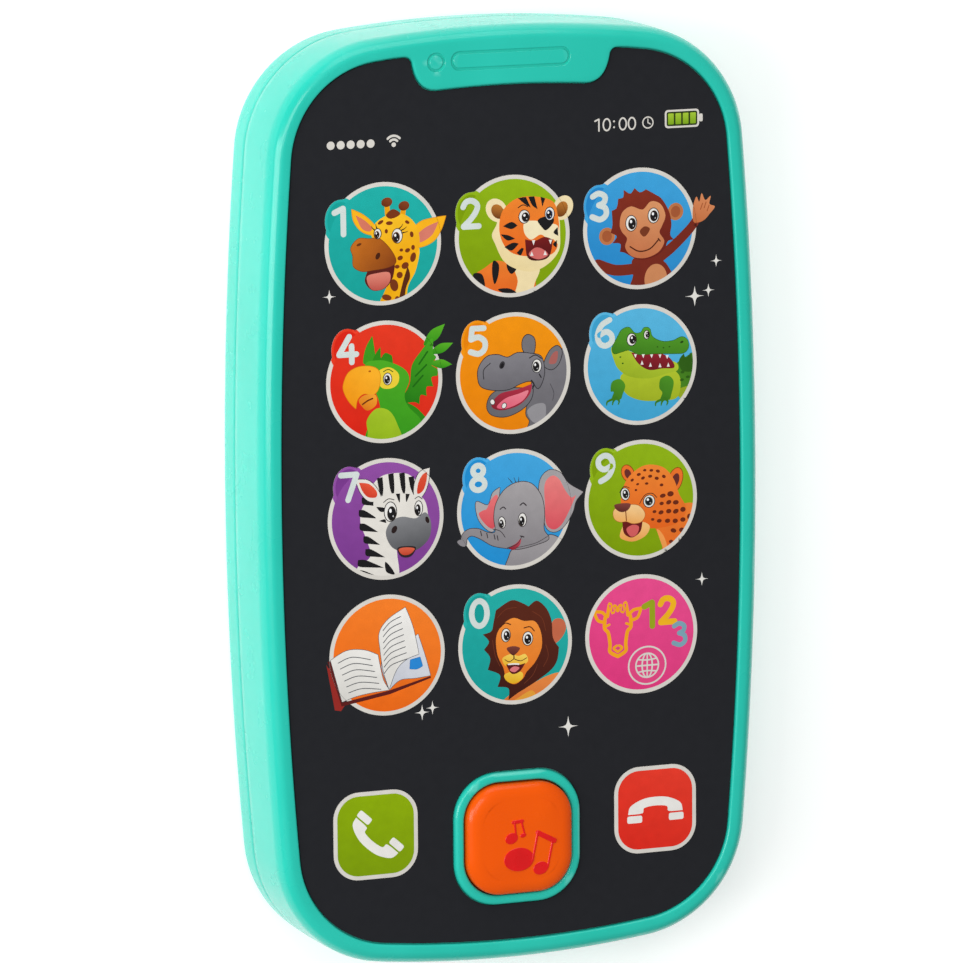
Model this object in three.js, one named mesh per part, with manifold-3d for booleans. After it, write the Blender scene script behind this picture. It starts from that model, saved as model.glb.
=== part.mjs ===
// Toy cell phone with animal keys, made as an assembly of separate pieces. Millimetres, +Z up.
// The phone lies on its back: X is its width, Y its length (earpiece end at +Y), +Z out of the screen.
// The origin is on the back face, under the middle of the case.

import * as THREE from 'three';
import { mergeVertices } from 'three/addons/utils/BufferGeometryUtils.js';
import Module from 'manifold-3d';

const wasm = await Module();
wasm.setup();

// ---- driving dimensions -------------------------------------------------------------------

// The black panel's outline: bowed sides and ends joined by large corner arcs.
const PANEL_HALF_W = 37.7;
const PANEL_HALF_L = 69.35;
const SIDE_BOW_R = 660;
const END_BOW_R = 180;
const CORNER_R = 15.5;
const BEZEL = 3.5;              // case outline outside the panel outline
const WALL = 2;
const FIT = 0.3;                // gap around a piece in its opening
const FACE_GAP = 0.1;           // gap between stacked flat faces

// Heights, from the back face up.
const SEAM_Z = 8.9;
const SEAM_GAP = 0.3;
const BACK_R = 5;
const RIM_R = 2.4;
const DECK_BOTTOM = 18.6;
const DECK_TOP = 19.95;
const FILM_BOTTOM = 20;
const FILM_TOP = 20.5;
const RIM_TOP = 21;
const SURROUND_TOP = 21.3;

// Round keys: three columns and four rows.
const PITCH_X = 21;
const PITCH_Y = 21.1;
const GRID_Y = 8.75;            // the middle of the grid, above the middle of the case
const KEY_R = 9.4;
const KEY_PROUD = 0.2;
const FLANGE_OVER = 0.8;
const KEY_BOTTOM = 17.6;
const FLANGE_TOP = 18.5;
const BUMP = { rx: 2.6, ry: 3.3 };      // the bump behind a digit, and its place on the key
const FIRST_ROW_BUMP = { x: -6.7, y: 3.8 };
const OTHER_BUMP = { x: -5.9, y: 5.2 };

// Square keys and the home button.
const CALL_X = 23.2;
const CALL_Y = -50.8;
const CALL_SIZE = 13.8;
const CALL_CORNER = 4.2;
const HOME_Y = -53.15;
const HOME_SIZE = 17.35;
const HOME_CORNER = 5.6;
const HOME_TOP = 23.1;
const SURROUND_SIZE = 20.8;
const SURROUND_CORNER = 7;

// Board and silicone mat.
const BOARD = { x0: -30.6, x1: 30.6, y0: -58.3, y1: 51, r: 2.5 };
const BOARD_BOTTOM = 14.5;
const BOARD_TOP = 15.7;
const MAT_TOP = 16.6;
const DOME_TOP = 17.5;
const DOME_R = 3.4;
const BOARD_POSTS = [[-10.5, 29.7], [10.5, 29.7], [-17.5, -37.5], [17.5, -37.5]];
const BOARD_POST_R = 2.4;

// Case screws.
const CASE_SCREWS = [[-29.5, 58], [29.5, 58], [-34.1, -12.3], [34.1, -12.3], [-27.5, -61.8], [27.5, -61.8]];
const CASE_BOSS_R = 3.1;
const CASE_BOSS_BOTTOM = 7.6;
const CASE_WELL_R = 2.7;
const CASE_WELL_TOP = 5.6;

// Screws: the larger ones close the case and the door, the smaller ones hold the board and the speaker.
const LARGE_SCREW = { head: 2.4, shank: 1.2, bore: 1.3, hole: 1.45 };
const SMALL_SCREW = { head: 1.9, shank: 0.85, bore: 1, hole: 1.15 };
const LIP_T = 0.8;              // the rear shell's lip, which stands inside the front shell's wall
const LIP_TOP = 10.4;

// Two AAA cells side by side, and the bay that holds them.
const CELL_R = 5.25;
const CELL_LENGTH = 44.5;
const CELL_X = 5.65;
const CELL_Z = 7.4;
const BAY = { x: 11.4, y0: -48.6, y1: 0.8, top: 13, wall: 1.3, roof: 1.2 };
const CONTACT_T = 0.4;

// Battery door.
const DOOR = { x: 13.6, y0: -51.6, y1: 12.4, r: 3, depth: 1.8 };
const DOOR_SCREW_Y = 7.6;

// Speaker.
const SPEAKER_Y = 34;
const SPEAKER_R = 15;
const SPEAKER_WALL = 1;
const CLAMP_X = 20.4;
const CLAMP_POST_R = 2.6;
const GRILLE = { pitch: 4.4, r: 1.2 };

// Power switch, on the back.
const SWITCH_X = 25;
const SWITCH_Y = -12;
const SWITCH_TRAVEL = 4;
const SWITCH_PEG = 8.6;         // from the switch's middle to each peg that holds its frame
const KNOB_HALF_W = 1.5;
const KNOB_HALF_L = 1.6;

const BEYOND = 90;              // clear of the case on every side, for cutting blocks

const ARC_STEPS = 4;
const ROUND_STEPS = 12;
const KEY_STEPS = 24;
const BUMP_STEPS = 12;

// ---- colours ------------------------------------------------------------------------------

const material = (color, roughness, metalness = 0) =>
  new THREE.MeshStandardMaterial({ color, roughness, metalness });

const TURQUOISE = material(0x37cdb9, 0.3);
const BLACK_FILM = material(0x26272c, 0.4);
const KEY_COLOURS = {
  1: 0x14a0a0, 2: 0x87a500, 3: 0x2a93d0, 4: 0xf0321e, 5: 0xff9500, 6: 0x55b8dc,
  7: 0x8a4a9a, 8: 0x2f9ad6, 9: 0x88a800, 0: 0x18a5a0, book: 0xf47018, mode: 0xe84a86,
};
const CALL_GREEN = material(0x88a800, 0.4);
const END_RED = material(0xe63728, 0.4);
const HOME_ORANGE = material(0xec5a00, 0.2);
const SILICONE = material(0xd8d8d2, 0.7);
const BOARD_GREEN = material(0x1f6b3a, 0.5);
const BLACK_PLASTIC = material(0x1c1c1e, 0.5);
const STEEL = material(0xb4b6b8, 0.35, 0.9);
const BRASS_PLATE = material(0xc9c2a8, 0.35, 0.9);
const PAPER_CONE = material(0x2a2a2c, 0.8);
const CELL_WRAP = material(0x3a5a9a, 0.4);
const CERAMIC = material(0x2f2a26, 0.6);
const CAN_SLEEVE = material(0x20304a, 0.4);
const WIRE_RED = material(0xb02018, 0.5);
const WIRE_BLACK = material(0x18181a, 0.5);

// ---- solids -------------------------------------------------------------------------------

function solid(geometry) {
  const bare = geometry.clone();
  bare.deleteAttribute('normal');
  bare.deleteAttribute('uv');
  const merged = mergeVertices(bare, 1e-4);
  return new wasm.Manifold(new wasm.Mesh({
    numProp: 3,
    vertProperties: new Float32Array(merged.attributes.position.array),
    triVerts: new Uint32Array(merged.index.array),
  }));
}

function geometryOf(body) {
  const mesh = body.getMesh();
  const geometry = new THREE.BufferGeometry();
  geometry.setAttribute('position', new THREE.BufferAttribute(new Float32Array(mesh.vertProperties), 3));
  geometry.setIndex(new THREE.BufferAttribute(new Uint32Array(mesh.triVerts), 1));
  geometry.computeVertexNormals();
  return geometry;
}

const union = (bodies) => bodies.reduce((sum, body) => sum.add(body));
const cut = (body, tools) => tools.reduce((rest, tool) => rest.subtract(tool), body);

function plate(points, z0, z1) {
  const options = { depth: z1 - z0, bevelEnabled: false };
  return solid(new THREE.ExtrudeGeometry(new THREE.Shape(points), options).translate(0, 0, z0));
}

// A plate whose top and bottom edges are both rounded by radius r.
function roundedPlate(points, z0, z1, r, steps) {
  const geometry = new THREE.ExtrudeGeometry(new THREE.Shape(points), {
    depth: z1 - z0 - 2 * r,
    bevelThickness: r,
    bevelSize: r,
    bevelOffset: -r,
    bevelSegments: steps,
  });
  return solid(geometry.translate(0, 0, z0 + r));
}

function box(x0, x1, y0, y1, z0, z1) {
  const geometry = new THREE.BoxGeometry(x1 - x0, y1 - y0, z1 - z0);
  return solid(geometry.translate((x0 + x1) / 2, (y0 + y1) / 2, (z0 + z1) / 2));
}

function rod(x, y, z0, z1, r, steps = ROUND_STEPS) {
  const geometry = new THREE.CylinderGeometry(r, r, z1 - z0, steps).rotateX(Math.PI / 2);
  return solid(geometry.translate(x, y, (z0 + z1) / 2));
}

// A turned piece about an upright axis through (x, y); the profile holds [radius, height] pairs.
function turned(x, y, profile, steps = ROUND_STEPS) {
  const points = profile.map(([r, z]) => new THREE.Vector2(r, z));
  const geometry = new THREE.LatheGeometry(points, steps).rotateX(Math.PI / 2);
  return solid(geometry.translate(x, y, 0));
}

// A round bar along a smooth path.
function bar(path, r, steps, sides) {
  const section = new THREE.Shape(arc(0, 0, r, 0, 2 * Math.PI, sides));
  return solid(new THREE.ExtrudeGeometry(section, { steps, extrudePath: path }));
}

// ---- outlines -----------------------------------------------------------------------------

// Points along an arc, without its last one.
function arc(cx, cy, r, from, to, count) {
  return Array.from({ length: count }, (_, i) => {
    const angle = from + (to - from) * i / count;
    return new THREE.Vector2(cx + r * Math.cos(angle), cy + r * Math.sin(angle));
  });
}

// The panel's corner arc is tangent, from inside, to the side bow and to the end bow.
function cornerCentre() {
  const side = PANEL_HALF_W - SIDE_BOW_R;
  const end = PANEL_HALF_L - END_BOW_R;
  const toSide = SIDE_BOW_R - CORNER_R;
  const toEnd = END_BOW_R - CORNER_R;
  const apart = Math.hypot(side, end);
  const along = (toSide ** 2 - toEnd ** 2 + apart ** 2) / (2 * apart);
  const across = Math.sqrt(toSide ** 2 - along ** 2);
  const ux = -side / apart;
  const uy = end / apart;
  return { x: side + along * ux - across * uy, y: along * uy + across * ux, side, end };
}

const CORNER = cornerCentre();
const SIDE_TO_CORNER = Math.atan2(CORNER.y, CORNER.x - CORNER.side);
const CORNER_TO_END = Math.atan2(CORNER.y - CORNER.end, CORNER.x);

// The panel's outline, grown by offset; the case's outline is the same curve grown by BEZEL.
function panelOutline(offset) {
  const a = SIDE_TO_CORNER;
  const b = CORNER_TO_END;
  const side = SIDE_BOW_R + offset;
  const end = END_BOW_R + offset;
  const corner = CORNER_R + offset;
  const turn = Math.PI;
  return [
    ...arc(CORNER.side, 0, side, -a, a, ARC_STEPS),
    ...arc(CORNER.x, CORNER.y, corner, a, b, 2 * ARC_STEPS),
    ...arc(0, CORNER.end, end, b, turn - b, ARC_STEPS),
    ...arc(-CORNER.x, CORNER.y, corner, turn - b, turn - a, 2 * ARC_STEPS),
    ...arc(-CORNER.side, 0, side, turn - a, turn + a, ARC_STEPS),
    ...arc(-CORNER.x, -CORNER.y, corner, turn + a, turn + b, 2 * ARC_STEPS),
    ...arc(0, -CORNER.end, end, turn + b, 2 * turn - b, ARC_STEPS),
    ...arc(CORNER.x, -CORNER.y, corner, 2 * turn - b, 2 * turn - a, 2 * ARC_STEPS),
  ];
}

function roundedRect(x0, x1, y0, y1, r, count = 4) {
  const quarter = Math.PI / 2;
  return [
    ...arc(x1 - r, y1 - r, r, 0, quarter, count),
    new THREE.Vector2(x1 - r, y1),
    ...arc(x0 + r, y1 - r, r, quarter, 2 * quarter, count),
    new THREE.Vector2(x0, y1 - r),
    ...arc(x0 + r, y0 + r, r, 2 * quarter, 3 * quarter, count),
    new THREE.Vector2(x0 + r, y0),
    ...arc(x1 - r, y0 + r, r, 3 * quarter, 4 * quarter, count),
    new THREE.Vector2(x1, y0 + r),
  ].filter((point, i, all) => point.distanceTo(all[(i + 1) % all.length]) > 1e-3);
}

const square = (x, y, size, r) =>
  roundedRect(x - size / 2, x + size / 2, y - size / 2, y + size / 2, r);

// The tab of the top bezel that dips into the panel, from beyond the case's edge downwards.
const TAB = { side: 16.2, foot: 12.2, bottom: 63.2, shoulder: 67.7 };

function notchOutline(grow) {
  const side = TAB.side + grow;
  const foot = TAB.foot;
  const bottom = TAB.bottom - grow;
  const shoulder = TAB.shoulder;
  const middle = (bottom + shoulder) / 2;
  const top = PANEL_HALF_L + 1.5;
  const shape = new THREE.Shape();
  shape.moveTo(-side - 1, top);
  shape.lineTo(-side - 1, shoulder + 1.1);
  shape.quadraticCurveTo(-side - 0.2, shoulder + 0.9, -side, shoulder);
  shape.bezierCurveTo(-side + 0.3, middle, -side + 1.3, bottom + 0.1, -foot, bottom);
  shape.quadraticCurveTo(0, bottom + 0.5, foot, bottom);
  shape.bezierCurveTo(side - 1.3, bottom + 0.1, side - 0.3, middle, side, shoulder);
  shape.quadraticCurveTo(side + 0.2, shoulder + 0.9, side + 1, shoulder + 1.1);
  shape.lineTo(side + 1, top);
  return shape.getPoints(5).slice(0, -1);
}

// ---- keys ---------------------------------------------------------------------------------

const ROUND_KEYS = [
  ['1', '2', '3'],
  ['4', '5', '6'],
  ['7', '8', '9'],
  ['book', '0', 'mode'],
].flatMap((row, j) => row.map((label, i) => ({
  label,
  name: `key_${label}`,
  x: (i - 1) * PITCH_X,
  y: GRID_Y + (1.5 - j) * PITCH_Y,
  bump: label.length === 1 ? (j === 0 ? FIRST_ROW_BUMP : OTHER_BUMP) : null,
})));

const CALL_KEYS = [
  { name: 'key_call', x: -CALL_X, material: CALL_GREEN },
  { name: 'key_end', x: CALL_X, material: END_RED },
];

// One round key's area, grown by offset, as a solid between two heights. Number keys carry a bump.
function roundKeyBody(key, offset, z0, z1) {
  const disc = rod(key.x, key.y, z0, z1, KEY_R + offset, KEY_STEPS);
  if (!key.bump) return disc;
  const bump = new THREE.CylinderGeometry(1, 1, z1 - z0, BUMP_STEPS).rotateX(Math.PI / 2);
  bump.scale(BUMP.rx + offset, BUMP.ry + offset, 1);
  bump.translate(key.x + key.bump.x, key.y + key.bump.y, (z0 + z1) / 2);
  return disc.add(solid(bump));
}

function roundKey(key) {
  return union([
    roundKeyBody(key, 0, FLANGE_TOP - 0.2, FILM_TOP + KEY_PROUD),
    rod(key.x, key.y, KEY_BOTTOM, FLANGE_TOP, KEY_R + FLANGE_OVER, 16),
  ]);
}

function squareKey(key) {
  const face = square(key.x, CALL_Y, CALL_SIZE, CALL_CORNER);
  const flange = square(key.x, CALL_Y, CALL_SIZE + 2 * FLANGE_OVER, CALL_CORNER + FLANGE_OVER);
  return union([
    roundedPlate(face, FLANGE_TOP - 0.4, FILM_TOP + KEY_PROUD, 0.2, 1),
    plate(flange, KEY_BOTTOM, FLANGE_TOP),
  ]);
}

function homeButton() {
  const note = (x, y, r) => rod(x, HOME_Y + y, HOME_TOP - 0.4, HOME_TOP, r, 12);
  return union([
    roundedPlate(square(0, HOME_Y, HOME_SIZE, HOME_CORNER), KEY_BOTTOM, HOME_TOP - 0.15, 0.9, 3),
    roundedPlate(square(0, HOME_Y, HOME_SIZE - 3, HOME_CORNER - 1), HOME_TOP - 1, HOME_TOP - 0.05, 0.3, 1),
    plate(square(0, HOME_Y, HOME_SIZE + 2 * FLANGE_OVER, HOME_CORNER + FLANGE_OVER), KEY_BOTTOM, FLANGE_TOP),
    note(-0.9, -3.1, 1.6),
    note(3.4, -4.8, 1.1),
  ]);
}

// ---- casing -------------------------------------------------------------------------------

// The lens ring and the earpiece outline are shallow grooves in the tab.
const GROOVE_DEPTH = 0.25;
const GROOVE_WIDTH = 0.4;
const LENS_RING = { x: -12.3, y: 67.5, r: 1.45 };
const EAR_SLOT = { x0: -9.9, x1: 9.5, y0: 66.1, y1: 69, r: 1.4 };
const earSlot = (inset) => roundedRect(EAR_SLOT.x0 + inset, EAR_SLOT.x1 - inset, EAR_SLOT.y0 + inset,
  EAR_SLOT.y1 - inset, EAR_SLOT.r - inset);

function frontShell() {
  const bottom = SEAM_Z + SEAM_GAP / 2;
  const above = RIM_TOP + 5;
  const outer = roundedPlate(panelOutline(BEZEL), SEAM_Z - 6, RIM_TOP, RIM_R, 3)
    .subtract(box(-BEYOND, BEYOND, -BEYOND, BEYOND, 0, bottom));
  const cavity = plate(panelOutline(BEZEL - WALL), bottom - 1, DECK_BOTTOM);
  const surround = square(0, HOME_Y, SURROUND_SIZE, SURROUND_CORNER);
  const filmRecess = cut(plate(panelOutline(FACE_GAP), DECK_TOP, above), [
    plate(notchOutline(0), DECK_TOP - 1, above + 1),
    plate(surround, DECK_TOP - 1, above + 1),
  ]);
  const bosses = CASE_SCREWS.map(([x, y]) => rod(x, y, CASE_BOSS_BOTTOM, DECK_BOTTOM + 0.5, CASE_BOSS_R));
  const posts = BOARD_POSTS.map(([x, y]) => rod(x, y, BOARD_TOP + FACE_GAP, DECK_BOTTOM + 0.5, BOARD_POST_R));
  const surroundWall = roundedPlate(surround, DECK_BOTTOM, SURROUND_TOP, 0.5, 2);
  const homeHole = square(0, HOME_Y, HOME_SIZE + 2 * FIT, HOME_CORNER + FIT);
  const callHole = (key) => square(key.x, CALL_Y, CALL_SIZE + 2 * FIT, CALL_CORNER + FIT);
  const grooveFloor = RIM_TOP - GROOVE_DEPTH;
  const camera = rod(LENS_RING.x, LENS_RING.y, grooveFloor, above, LENS_RING.r)
    .subtract(rod(LENS_RING.x, LENS_RING.y, 0, above + 1, LENS_RING.r - GROOVE_WIDTH));
  const slot = plate(earSlot(0), grooveFloor, above)
    .subtract(plate(earSlot(GROOVE_WIDTH), 0, above + 1));
  const hollow = cut(outer, [cavity, filmRecess]);
  return cut(union([hollow, surroundWall, ...bosses, ...posts]), [
    plate(homeHole, DECK_BOTTOM - 1, above),
    ...ROUND_KEYS.map((key) => roundKeyBody(key, FIT, DECK_BOTTOM - 1, DECK_TOP + 1)),
    ...CALL_KEYS.map((key) => plate(callHole(key), DECK_BOTTOM - 1, DECK_TOP + 1)),
    ...CASE_SCREWS.map(([x, y]) => rod(x, y, CASE_BOSS_BOTTOM - 1, 16.5, LARGE_SCREW.bore, 10)),
    ...BOARD_POSTS.map(([x, y]) => rod(x, y, BOARD_TOP - 1, 18.8, SMALL_SCREW.bore, 10)),
    camera,
    slot,
  ]);
}

function screenOverlay() {
  const surroundGap = square(0, HOME_Y, SURROUND_SIZE + 2 * FIT, SURROUND_CORNER + FIT);
  const callGap = (key) => square(key.x, CALL_Y, CALL_SIZE + 2 * FIT, CALL_CORNER + FIT);
  return cut(plate(panelOutline(-FACE_GAP), FILM_BOTTOM, FILM_TOP), [
    plate(notchOutline(0.2), FILM_BOTTOM - 1, FILM_TOP + 1),
    plate(surroundGap, FILM_BOTTOM - 1, FILM_TOP + 1),
    ...ROUND_KEYS.map((key) => roundKeyBody(key, FIT, FILM_BOTTOM - 1, FILM_TOP + 1)),
    ...CALL_KEYS.map((key) => plate(callGap(key), FILM_BOTTOM - 1, FILM_TOP + 1)),
  ]);
}

const doorOutline = (gap) =>
  roundedRect(-DOOR.x + gap, DOOR.x - gap, DOOR.y0 + gap, DOOR.y1 - gap, DOOR.r - gap);

// Speaker holes through the back: rings of small round holes about a middle one.
function grille() {
  const hole = (x, y) => rod(x, SPEAKER_Y + y, -1, WALL + 1, GRILLE.r, 8);
  const holes = [hole(0, 0)];
  for (let ring = 1; ring <= 2; ring += 1) {
    for (let i = 0; i < 6 * ring; i += 1) {
      const angle = i * Math.PI / (3 * ring);
      const reach = GRILLE.pitch * ring;
      holes.push(hole(reach * Math.cos(angle), reach * Math.sin(angle)));
    }
  }
  return holes;
}

function rearShell() {
  const top = SEAM_Z - SEAM_GAP / 2;
  const outer = roundedPlate(panelOutline(BEZEL), 0, SEAM_Z + 20, BACK_R, 3)
    .subtract(box(-BEYOND, BEYOND, -BEYOND, BEYOND, top, SEAM_Z + 30));
  const cavity = roundedPlate(panelOutline(BEZEL - WALL), WALL, SEAM_Z + 20, BACK_R - WALL, 2);
  const bayWalls = box(-BAY.x - BAY.wall, BAY.x + BAY.wall, BAY.y0 - BAY.wall, BAY.y1 + BAY.wall,
    WALL - 0.5, BAY.top + BAY.roof);
  const low = union([
    plate(roundedRect(-DOOR.x - 2.4, DOOR.x + 2.4, DOOR.y0 - 2.4, DOOR.y1 + 2.4, 4), 0, DOOR.depth + 1.6),
    ...CASE_SCREWS.map(([x, y]) => rod(x, y, 0, CASE_BOSS_BOTTOM - 0.2, CASE_WELL_R + 1.5)),
  ]).intersect(outer);
  const slotHalfW = KNOB_HALF_W + 0.4;
  const slotHalfL = SWITCH_TRAVEL / 2 + KNOB_HALF_L + 0.5;
  const posts = [
    rod(0, DOOR_SCREW_Y, WALL - 0.5, 9.6, 6),
    rod(-CLAMP_X, SPEAKER_Y, WALL - 0.5, 11.1, CLAMP_POST_R, 12),
    rod(CLAMP_X, SPEAKER_Y, WALL - 0.5, 11.1, CLAMP_POST_R, 12),
    rod(0, SPEAKER_Y, WALL - 0.5, 5.5, SPEAKER_R + 2 * FIT + SPEAKER_WALL, 20)
      .subtract(rod(0, SPEAKER_Y, 0, 6, SPEAKER_R + 2 * FIT, 20)),
    rod(SWITCH_X, SWITCH_Y - SWITCH_PEG, WALL - 0.5, 4.4, 0.9, 8),
    rod(SWITCH_X, SWITCH_Y + SWITCH_PEG, WALL - 0.5, 4.4, 0.9, 8),
  ];
  const lipFoot = plate(panelOutline(BEZEL - 1), 6.5, 7.6);
  const lip = plate(panelOutline(BEZEL - WALL - FIT), 6.5, LIP_TOP).add(lipFoot)
    .subtract(plate(panelOutline(BEZEL - WALL - FIT - LIP_T), 0, LIP_TOP + 1));
  return cut(union([outer.subtract(cavity), low, bayWalls, lip, ...posts]), [
    box(-BAY.x, BAY.x, BAY.y0, BAY.y1, -1, BAY.top),
    plate(doorOutline(0), -1, DOOR.depth),
    rod(0, DOOR_SCREW_Y, -1, 4.4, 4.4),
    rod(0, DOOR_SCREW_Y, -1, 9, LARGE_SCREW.bore, 10),
    box(-CELL_X - 1.4, -CELL_X + 1.4, BAY.y1 - 0.5, BAY.y1 + 3, 11.3, 12.5),
    box(CELL_X - 1.4, CELL_X + 1.4, BAY.y1 - 0.5, BAY.y1 + 3, 11.3, 12.5),
    ...CASE_SCREWS.map(([x, y]) => rod(x, y, -1, CASE_WELL_TOP, CASE_WELL_R)),
    ...CASE_SCREWS.map(([x, y]) => rod(x, y, -1, 9, LARGE_SCREW.hole, 10)),
    rod(-CLAMP_X, SPEAKER_Y, 4, 12, SMALL_SCREW.bore, 8),
    rod(CLAMP_X, SPEAKER_Y, 4, 12, SMALL_SCREW.bore, 8),
    box(SWITCH_X - slotHalfW, SWITCH_X + slotHalfW, SWITCH_Y - slotHalfL, SWITCH_Y + slotHalfL, -1, WALL + 1),
    ...grille(),
  ]);
}

function batteryDoor() {
  const skin = 0.1;
  const inner = DOOR.depth - 0.2;
  const lug = (x) => box(x - 2, x + 2, BAY.y0 + FIT, BAY.y0 + FIT + 1.3, inner - 0.3, inner + 1.2);
  const groove = (i) => box(-5, 5, DOOR.y1 - 20 - 1.8 * i, DOOR.y1 - 19.2 - 1.8 * i, -1, skin + 0.4);
  return cut(union([
    plate(doorOutline(FIT), skin, inner),
    rod(0, DOOR_SCREW_Y, skin, 4.1, 4),
    lug(-6.5),
    lug(6.5),
  ]), [
    rod(0, DOOR_SCREW_Y, -1, 2.3, 2.7),
    rod(0, DOOR_SCREW_Y, -1, 5, LARGE_SCREW.hole, 10),
    ...[0, 1, 2, 3].map(groove),
  ]);
}

// The two slots of a screw's cross, between two heights.
function crossRecess(x, y, head, z0, z1) {
  const reach = head * 0.62;
  const half = 0.3;
  return [
    box(x - reach, x + reach, y - half, y + half, z0, z1),
    box(x - half, x + half, y - reach, y + reach, z0, z1),
  ];
}

// A cross-recess screw standing head down, its head between z0 and z1 and its tip at z2.
function screwHeadDown(x, y, size, z0, z1, z2) {
  const { head, shank } = size;
  const profile = [
    [0, z0], [head * 0.75, z0], [head, z0 + 0.4], [head, z1], [shank, z1], [shank, z2 - 1], [0, z2],
  ];
  return cut(turned(x, y, profile, 8), crossRecess(x, y, head, z0 - 1, z0 + 0.8));
}

// The same screw standing head up, its head between z0 and z1 and its tip at z2 below.
function screwHeadUp(x, y, size, z0, z1, z2) {
  const { head, shank } = size;
  const profile = [
    [0, z2], [shank, z2 + 1], [shank, z0], [head, z0], [head, z1 - 0.4], [head * 0.75, z1], [0, z1],
  ];
  return cut(turned(x, y, profile, 10), crossRecess(x, y, head, z1 - 0.8, z1 + 1));
}

// ---- inside -------------------------------------------------------------------------------

const PLUNGERS = [
  ...ROUND_KEYS.map((key) => [key.x, key.y]),
  [-CALL_X, CALL_Y],
  [CALL_X, CALL_Y],
  [0, HOME_Y],
];

const boardOutline = () => roundedRect(BOARD.x0, BOARD.x1, BOARD.y0, BOARD.y1, BOARD.r, 3);

// One sheet of silicone with a hollow dome and a contact pill under every key.
function keypadMat() {
  const bottom = BOARD_TOP + FACE_GAP;
  const domes = PLUNGERS.map(([x, y]) => turned(x, y, [
    [0, bottom + 0.2],
    [DOME_R + 0.6, bottom + 0.2],
    [DOME_R + 0.6, MAT_TOP],
    [DOME_R - 0.6, DOME_TOP],
    [0, DOME_TOP],
  ], 10));
  const pockets = PLUNGERS.map(([x, y]) => rod(x, y, bottom - 1, MAT_TOP + 0.2, 2.6, 8)
    .subtract(rod(x, y, bottom + 0.6, MAT_TOP + 1, 1.4, 5)));
  const postHoles = BOARD_POSTS.map(([x, y]) => rod(x, y, bottom - 1, MAT_TOP + 1, BOARD_POST_R + FIT, 12));
  const sheet = plate(boardOutline(), bottom, MAT_TOP);
  return cut(union([sheet, ...domes]), [...pockets, ...postHoles]);
}

function mainBoard() {
  const holes = BOARD_POSTS.map(([x, y]) => rod(x, y, BOARD_BOTTOM - 1, BOARD_TOP + 1, SMALL_SCREW.hole, 10));
  return cut(plate(boardOutline(), BOARD_BOTTOM, BOARD_TOP), holes);
}

const hang = BOARD_BOTTOM - 0.05;   // the level from which parts hang under the board

const chipBlob = () => turned(20, 8, [
  [0, hang - 1.5], [2.6, hang - 1.3], [4.4, hang - 0.5], [4.8, hang], [0, hang],
]);
const capacitor = () => turned(-20, 10, [
  [0, hang - 7], [2.3, hang - 7], [2.5, hang - 6.8], [2.5, hang - 1.4], [2.2, hang - 1.1], [2.5, hang - 0.8],
  [2.5, hang], [0, hang],
]);
const resistor = (x, y) => box(x - 1.6, x + 1.6, y - 0.8, y + 0.8, hang - 0.6, hang);
const transistor = () => box(26, 29, 15, 16.4, hang - 1.1, hang)
  .add(box(25.6, 29.4, 15.4, 16, hang - 0.3, hang));

function switchBody() {
  const x = SWITCH_X;
  const y = SWITCH_Y;
  const z = WALL + 0.2;
  const lugs = [-3.5, 0, 3.5].map((dy) => box(x - 0.3, x + 0.3, y + dy - 0.7, y + dy + 0.7, z + 4, z + 6.4));
  return cut(union([
    box(x - 3.4, x + 3.4, y - 6.2, y + 6.2, z, z + 4.8),
    box(x - 3.4, x + 3.4, y - 10.4, y + 10.4, z, z + 0.8),
    ...lugs,
  ]), [
    box(x - 2, x + 2, y - 4.6, y + 4.6, z - 1, z + 2.4),
    rod(x, y - SWITCH_PEG, 0, 6, 1.2, 8),
    rod(x, y + SWITCH_PEG, 0, 6, 1.2, 8),
  ]);
}

// The sliding knob, at its off position at the -Y end of its travel. Its ribs lie just inside the back face.
function switchKnob() {
  const x = SWITCH_X;
  const y = SWITCH_Y - SWITCH_TRAVEL / 2;
  const rib = (i) => box(x - KNOB_HALF_W, x + KNOB_HALF_W, y + i - 0.25, y + i + 0.25, 0.3, 0.9);
  return union([
    box(x - KNOB_HALF_W, x + KNOB_HALF_W, y - KNOB_HALF_L, y + KNOB_HALF_L, 0.7, 4.2),
    ...[-1, 0, 1].map(rib),
  ]);
}

const speakerFrame = () => turned(0, SPEAKER_Y, [
  [12.8, 2.3], [SPEAKER_R, 2.3], [SPEAKER_R, 3.4], [13.9, 3.4], [9.4, 6.9], [4.6, 6.9], [4.6, 6.1], [8.9, 6.1],
  [12.8, 3.2], [12.8, 2.3],
], 20);
const speakerMagnet = () => turned(0, SPEAKER_Y, [
  [0, 7], [8.2, 7], [8.5, 7.3], [8.5, 10.7], [8.2, 11], [0, 11],
], 16);
const speakerCone = () => turned(0, SPEAKER_Y, [
  [0, 4.6], [4, 4.9], [12.3, 2.75], [12.3, 3.15], [4.2, 5.6], [0, 5.3],
], 20);
const speakerClamp = () => cut(
  plate(roundedRect(-CLAMP_X - 3.4, CLAMP_X + 3.4, SPEAKER_Y - 3.4, SPEAKER_Y + 3.4, 3.2), 11.2, 12.4),
  [-CLAMP_X, CLAMP_X].map((x) => rod(x, SPEAKER_Y, 10, 14, SMALL_SCREW.hole, 10)),
);

// An AAA cell lying along Y with its button end towards direction, its button's face at y.
function cell(x, y, direction) {
  const points = [
    [0, 0], [1.9, 0], [1.9, 0.9], [4.6, 0.9], [CELL_R, 1.3], [CELL_R, CELL_LENGTH - 0.4], [4.8, CELL_LENGTH],
    [0, CELL_LENGTH],
  ].map(([r, length]) => new THREE.Vector2(r, length));
  const geometry = new THREE.LatheGeometry(points, 16);
  if (direction > 0) geometry.rotateX(Math.PI);
  return solid(geometry.translate(x, y, CELL_Z));
}

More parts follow.
